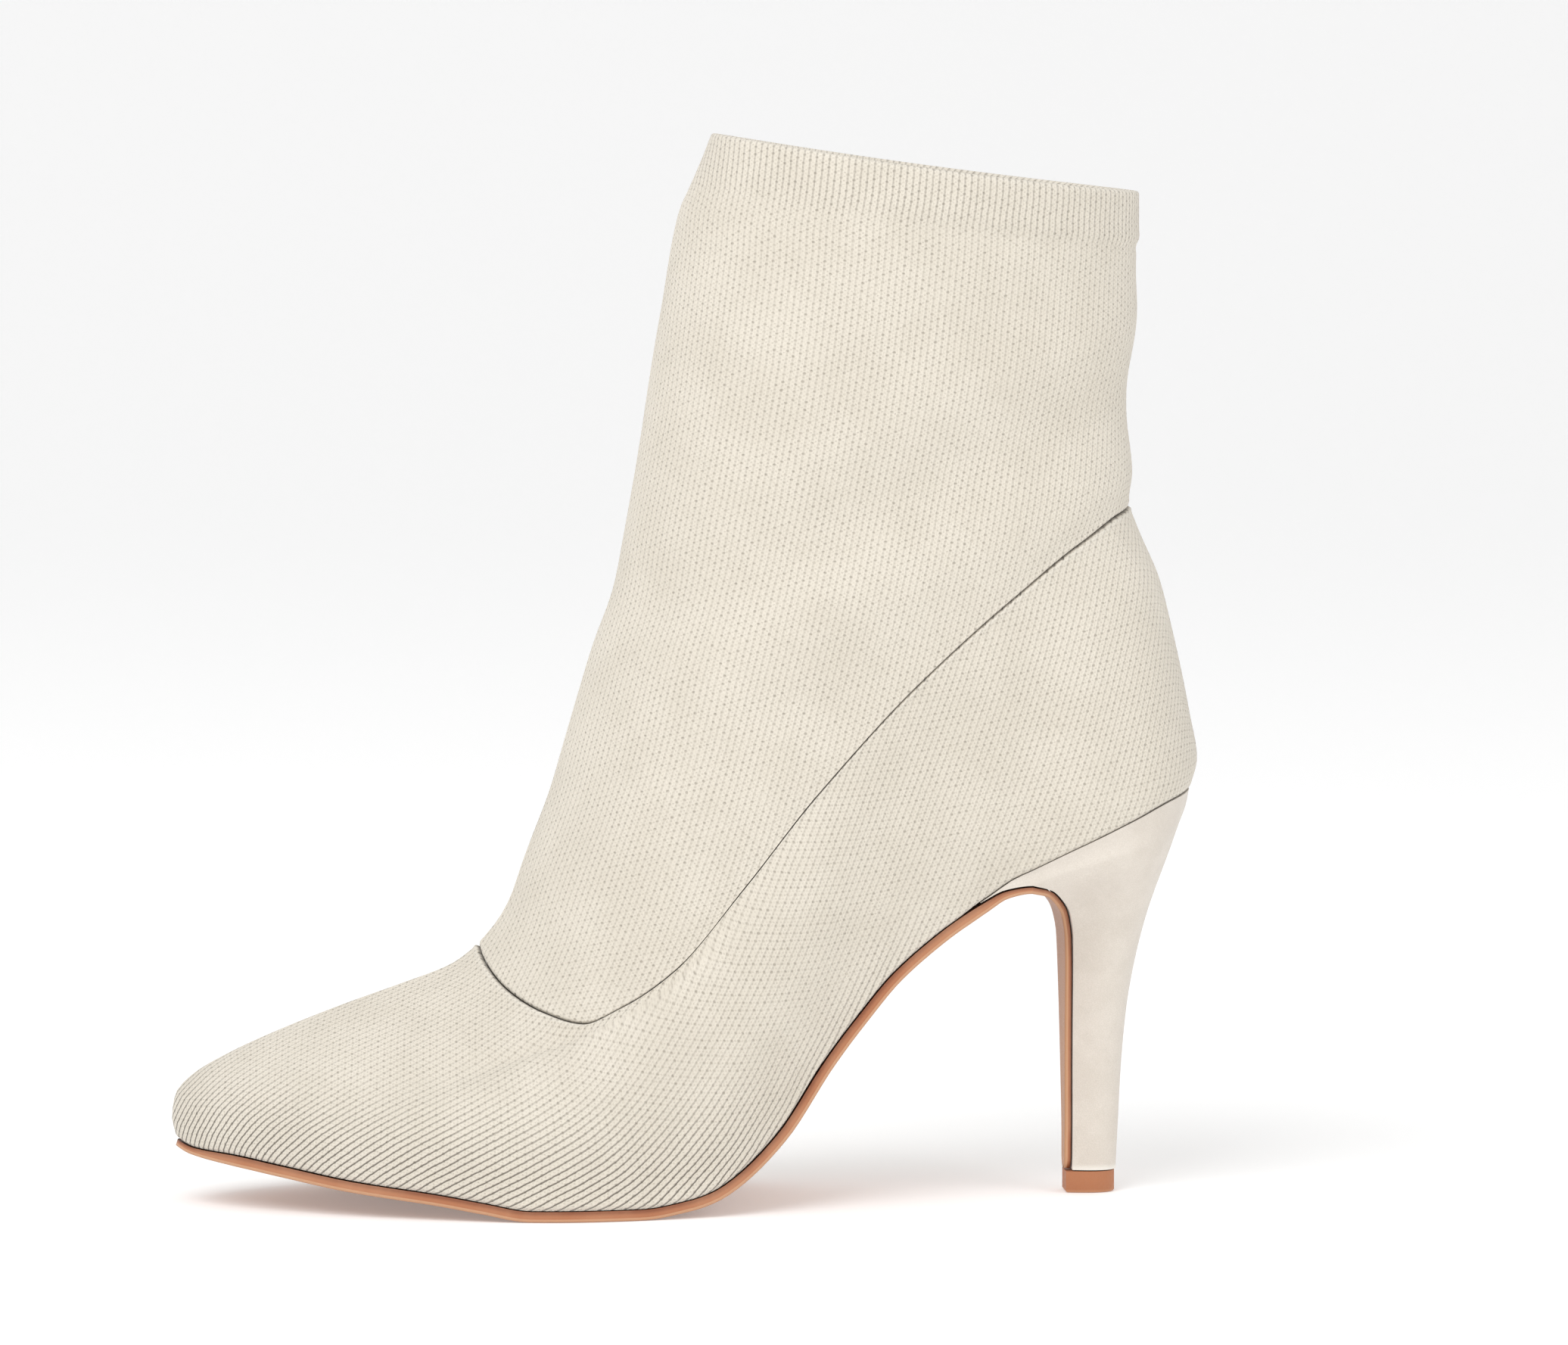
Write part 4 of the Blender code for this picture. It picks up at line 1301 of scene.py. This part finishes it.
class BootLeatherSettings(PropertyGroup):
    """Colours of the sole and the top lift."""

    sole_face: shade("Sole face", "Underside of the sole", (0.45, 0.22, 0.11))
    sole_face_shade: shade("Sole face shade", "Underside where it clouds darker", (0.38, 0.17, 0.08))
    sole_edge: shade("Sole edge", "Painted side edge", (0.42, 0.16, 0.07))
    sole_edge_dark: shade("Sole edge top", "Side edge under the knit", (0.24, 0.075, 0.03))
    sole_rim: shade("Sole rim", "Worn lower rim", (0.62, 0.36, 0.21))
    flap_face: shade("Flap face", "Flap on the front of the heel", (0.58, 0.32, 0.17))
    lift_colour: shade("Top lift", "Hard rubber", (0.45, 0.18, 0.08))


class BootStageSettings(PropertyGroup):
    """Floor, lights and the camera's place."""

    floor_colour: shade("Floor", "Floor and backdrop", (0.9, 0.9, 0.9))
    camera_place: FloatVectorProperty(
        name="Camera place", description="Where the camera stands", subtype="TRANSLATION",
        unit="LENGTH", default=(-0.1692, -1.9838, 0.2844),
    )
    camera_aim: FloatVectorProperty(
        name="Camera aim", description="The point in the middle of the view",
        subtype="TRANSLATION", unit="LENGTH", default=(0.0218, 0.0, 0.11707),
    )
    camera_lens: FloatProperty(
        name="Lens", description="Focal length on a 36 mm sensor", default=206.8, unit="CAMERA",
    )
    key_power: FloatProperty(
        name="Key light", description="Large soft light over the toe", default=26.0, unit="POWER",
    )
    fill_power: FloatProperty(
        name="Fill light", description="Soft light beside the camera", default=9.0, unit="POWER",
    )
    world_strength: FloatProperty(
        name="Surroundings", description="Even white light from all round", default=0.62,
    )


class BOOT_OT_make_upper(Operator):
    """Make the lower knit panel, from the sole to the seam"""

    bl_idname = "boot.make_upper"
    bl_label = "Lower panel"

    def execute(self, context):
        settings = context.scene.boot_knit
        turn, share, height, points, normals = panel_grid(upper_surface, UPPER_RINGS, 0, SEAM_GAP)
        away = {
            "seam": (1 - share) * height,
            "sole": share * height,
            "back": from_back_seam(turn, points),
        }
        fades = {"seam": 6 * MM, "sole": 3 * MM}
        relief = relief_of(turn, points, PANEL_FOLDS, PANEL_EDGES, away, fades)
        outer = points + normals * relief[..., None]
        lift = side_normals(feather_line(np.linspace(0, np.pi, COLUMNS // 2 + 1)))
        lift = np.vstack([lift[:0:-1], lift]) * FEATHER_LIFT
        outer[..., ::2] -= lift * ((1 - share) ** 12)[..., None]
        picked = picked_rings(len(share), UPPER_INNER_RINGS)
        inner = points[picked] - normals[picked] * KNIT_WALL
        x = points[..., 0]
        stretch = bell(away["sole"], 17 * MM) * (1 - ease(x, -2 * MM, 26 * MM))
        low_edge = bell(away["sole"], 9 * MM) * (1 - ease(x, 30 * MM, 60 * MM))
        # How open the knit stands: it sets the grooves' bump and their painted shade
        opened = np.clip(0.12 + 0.75 * stretch + 0.3 * low_edge, 0, 1)
        # Pale fuzz along the lower edge, and a painted highlight on the ridge 0.9 mm off the seam
        pale_fuzz_highlight = 0.7 * bell(away["sole"], 0.8 * MM) + 0.5 * bell(away["seam"] - 0.9 * MM, 0.4 * MM)
        knit_shell(
            "knit_upper",
            outer,
            inner,
            knit_maps(upper_surface, panel_wales, turn, share, away, points[..., 2], settings),
            {"open": opened, "pale_fuzz_highlight": pale_fuzz_highlight},
            knit_finish("cream_knit", settings),
            "upper",
        )
        return {"FINISHED"}


class BOOT_OT_make_shaft(Operator):
    """Make the knit shaft with its doubled cuff"""

    bl_idname = "boot.make_shaft"
    bl_label = "Shaft"

    def execute(self, context):
        settings = context.scene.boot_knit
        turn, share, height, points, normals = panel_grid(shaft_surface, SHAFT_RINGS, SEAM_GAP, 0)
        from_rim = (1 - share) * height
        away = {
            "seam": share * height,
            "rim": from_rim,
            "hem": CUFF_HEIGHT - from_rim,
            "back": from_back_seam(turn, points),
        }
        fades = {"seam": 8 * MM, "rim": 14 * MM}
        relief = relief_of(turn, points, SHAFT_FOLDS, SHAFT_EDGES, away, fades)
        relief += CUFF_STEP * ease(away["hem"], -0.4 * MM, 1.4 * MM)
        outer = points + normals * relief[..., None]
        picked = picked_rings(len(share), SHAFT_INNER_RINGS)
        inner = outer[picked] - normals[picked] * KNIT_WALL
        into_rim = np.clip(1 - from_rim / RIM_ROUND, 0, 1)
        roll = RIM_ROUND * (1 - np.sqrt(1 - into_rim**2))[..., None]
        outer -= normals * roll
        inner += normals[picked] * roll[picked]
        # How open the knit stands: it sets the grooves' bump and their painted shade
        opened = 0.1 + 0.16 * ease(away["hem"], -0.5 * MM, 1.0 * MM)
        # Collar rim lighter: partly fuzz, partly a painted highlight on the rolled rim; taken away at
        # the hem
        pale_fuzz_highlight = 0.35 * bell(from_rim, 1.2 * MM) - 0.9 * bell(away["hem"] + 0.6 * MM, 0.7 * MM)
        knit_shell(
            "knit_shaft",
            outer,
            inner,
            knit_maps(shaft_surface, shaft_wales, turn, share, away, points[..., 2], settings),
            {"open": opened, "pale_fuzz_highlight": np.clip(pale_fuzz_highlight, 0, 1)},
            knit_finish("cream_knit_shaft", settings),
            "shaft",
        )
        return {"FINISHED"}


class BOOT_OT_make_sole(Operator):
    """Make the leather sole with its flap down the front of the heel"""

    bl_idname = "boot.make_sole"
    bl_label = "Leather sole"

    def execute(self, context):
        rings, edge, share = leather_rings()
        crest = share[np.argmin(np.abs(rings[:, 0, 0] - CREST[0]))]
        flap = ease(share, crest, crest + 0.1)[:, None]
        closed_loft(
            "leather_sole",
            rings,
            leather_finish(context.scene.boot_leather),
            "outsole",
            (("edge", edge), ("flap", flap)),
        )
        return {"FINISHED"}


class BOOT_OT_make_heel(Operator):
    """Make the suede-covered cone heel and its top lift"""

    bl_idname = "boot.make_heel"
    bl_label = "Heel and top lift"

    def execute(self, context):
        suede = suede_finish(context.scene.boot_knit)
        closed_loft("suede_heel", heel_rings(), suede, "heel")
        rubber = lift_finish(context.scene.boot_leather)
        closed_loft("rubber_top_lift", lift_rings(), rubber, "top_lift")
        return {"FINISHED"}


class BOOT_OT_dress_insole(Operator):
    """Give the insole its pale leather"""

    bl_idname = "boot.dress_insole"
    bl_label = "Insole"

    def execute(self, context):
        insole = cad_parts["insole"]
        insole.data.materials.clear()
        insole.data.materials.append(lining_finish(context.scene.boot_knit))
        return {"FINISHED"}


class BOOT_OT_make_stage(Operator):
    """Make the floor, the lights and the camera"""

    bl_idname = "boot.make_stage"
    bl_label = "Stage"

    def execute(self, context):
        settings = context.scene.boot_stage
        scene = context.scene
        self.make_floor(scene, settings)
        powers = (settings.key_power, settings.fill_power)
        for (name, place, side), power in zip(LIGHTS[1:], powers):
            self.add_light(scene, name, power, place, side)
        world = bpy.data.worlds.new("white_room")
        world.use_nodes = True
        sky = world.node_tree.nodes["Background"]
        sky.inputs["Color"].default_value = (1, 1, 1, 1)
        sky.inputs["Strength"].default_value = settings.world_strength
        scene.world = world
        scene.view_settings.view_transform = "Standard"
        camera = bpy.data.cameras.new("camera")
        camera.lens = settings.camera_lens
        camera.sensor_width = 36.0
        eye = bpy.data.objects.new("camera", camera)
        eye.location = settings.camera_place
        look = Vector(settings.camera_aim) - Vector(settings.camera_place)
        eye.rotation_euler = look.to_track_quat("-Z", "Y").to_euler()
        scene.collection.objects.link(eye)
        scene.camera = eye
        return {"FINISHED"}

    def make_floor(self, scene, settings):
        """A flat floor that curves up into a backdrop well behind the boot."""
        bend = np.radians(np.linspace(0, 90, 17))
        start, radius = 2.2, 1.2
        y = np.concatenate([[-4.0], start + radius * np.sin(bend), [start + radius]])
        z = np.concatenate([[0.0], radius * (1 - np.cos(bend)), [4.0]]) - 0.05 * MM
        x = np.array([-5.0, 5.0])
        points = np.array([(side, depth, rise) for depth, rise in zip(y, z) for side in x])
        row = np.arange(len(y) - 1) * 2
        faces = np.stack([row, row + 1, row + 3, row + 2], axis=-1)
        mesh = bpy.data.meshes.new("floor")
        mesh.from_pydata(points.tolist(), [], faces.tolist())
        mesh.shade_smooth()
        net = Finish("pale_floor")
        net.set(Base_Color=settings.floor_colour, Roughness=0.8, Specular_IOR_Level=0.1)
        net.set(Emission_Color=(1, 1, 1), Emission_Strength=0.2)
        mesh.materials.append(net.material)
        floor = bpy.data.objects.new("floor", mesh)
        scene.collection.objects.link(floor)

    def add_light(self, scene, name, power, place, side):
        """A large square light that faces the middle of the boot."""
        light = bpy.data.lights.new(name, "AREA")
        light.energy = power
        light.size = side
        lamp = bpy.data.objects.new(name, light)
        lamp.location = place
        aim = Vector(LIT_PLACE) - Vector(place)
        lamp.rotation_euler = aim.to_track_quat("-Z", "Y").to_euler()
        scene.collection.objects.link(lamp)


class BOOT_PT_panel(Panel):
    """Lists the boot's pieces in the sidebar"""

    bl_label = "Sweater boot"
    bl_idname = "BOOT_PT_panel"
    bl_space_type = "VIEW_3D"
    bl_region_type = "UI"
    bl_category = "Boot"

    def draw(self, context):
        for operator in OPERATORS:
            self.layout.operator(operator.bl_idname)


SETTINGS = {
    "boot_knit": BootKnitSettings,
    "boot_leather": BootLeatherSettings,
    "boot_stage": BootStageSettings,
}
OPERATORS = (
    BOOT_OT_make_stage,
    BOOT_OT_make_upper,
    BOOT_OT_make_shaft,
    BOOT_OT_make_sole,
    BOOT_OT_make_heel,
    BOOT_OT_dress_insole,
)
CLASSES = (*SETTINGS.values(), *OPERATORS, BOOT_PT_panel)


def register():
    """Registers each class, then hangs each group of settings on the scene."""
    for each in CLASSES:
        bpy.utils.register_class(each)
    for name, settings in SETTINGS.items():
        setattr(bpy.types.Scene, name, PointerProperty(type=settings))


def unregister():
    """Takes the settings off the scene, then removes the classes, last one first."""
    for name in SETTINGS:
        delattr(bpy.types.Scene, name)
    for each in reversed(CLASSES):
        bpy.utils.unregister_class(each)


def main():
    """Makes every piece and the stage."""
    register()
    bpy.ops.boot.make_stage()
    bpy.ops.boot.make_upper()
    bpy.ops.boot.make_shaft()
    bpy.ops.boot.make_sole()
    bpy.ops.boot.make_heel()
    bpy.ops.boot.dress_insole()


if __name__ == "__main__":
    main()
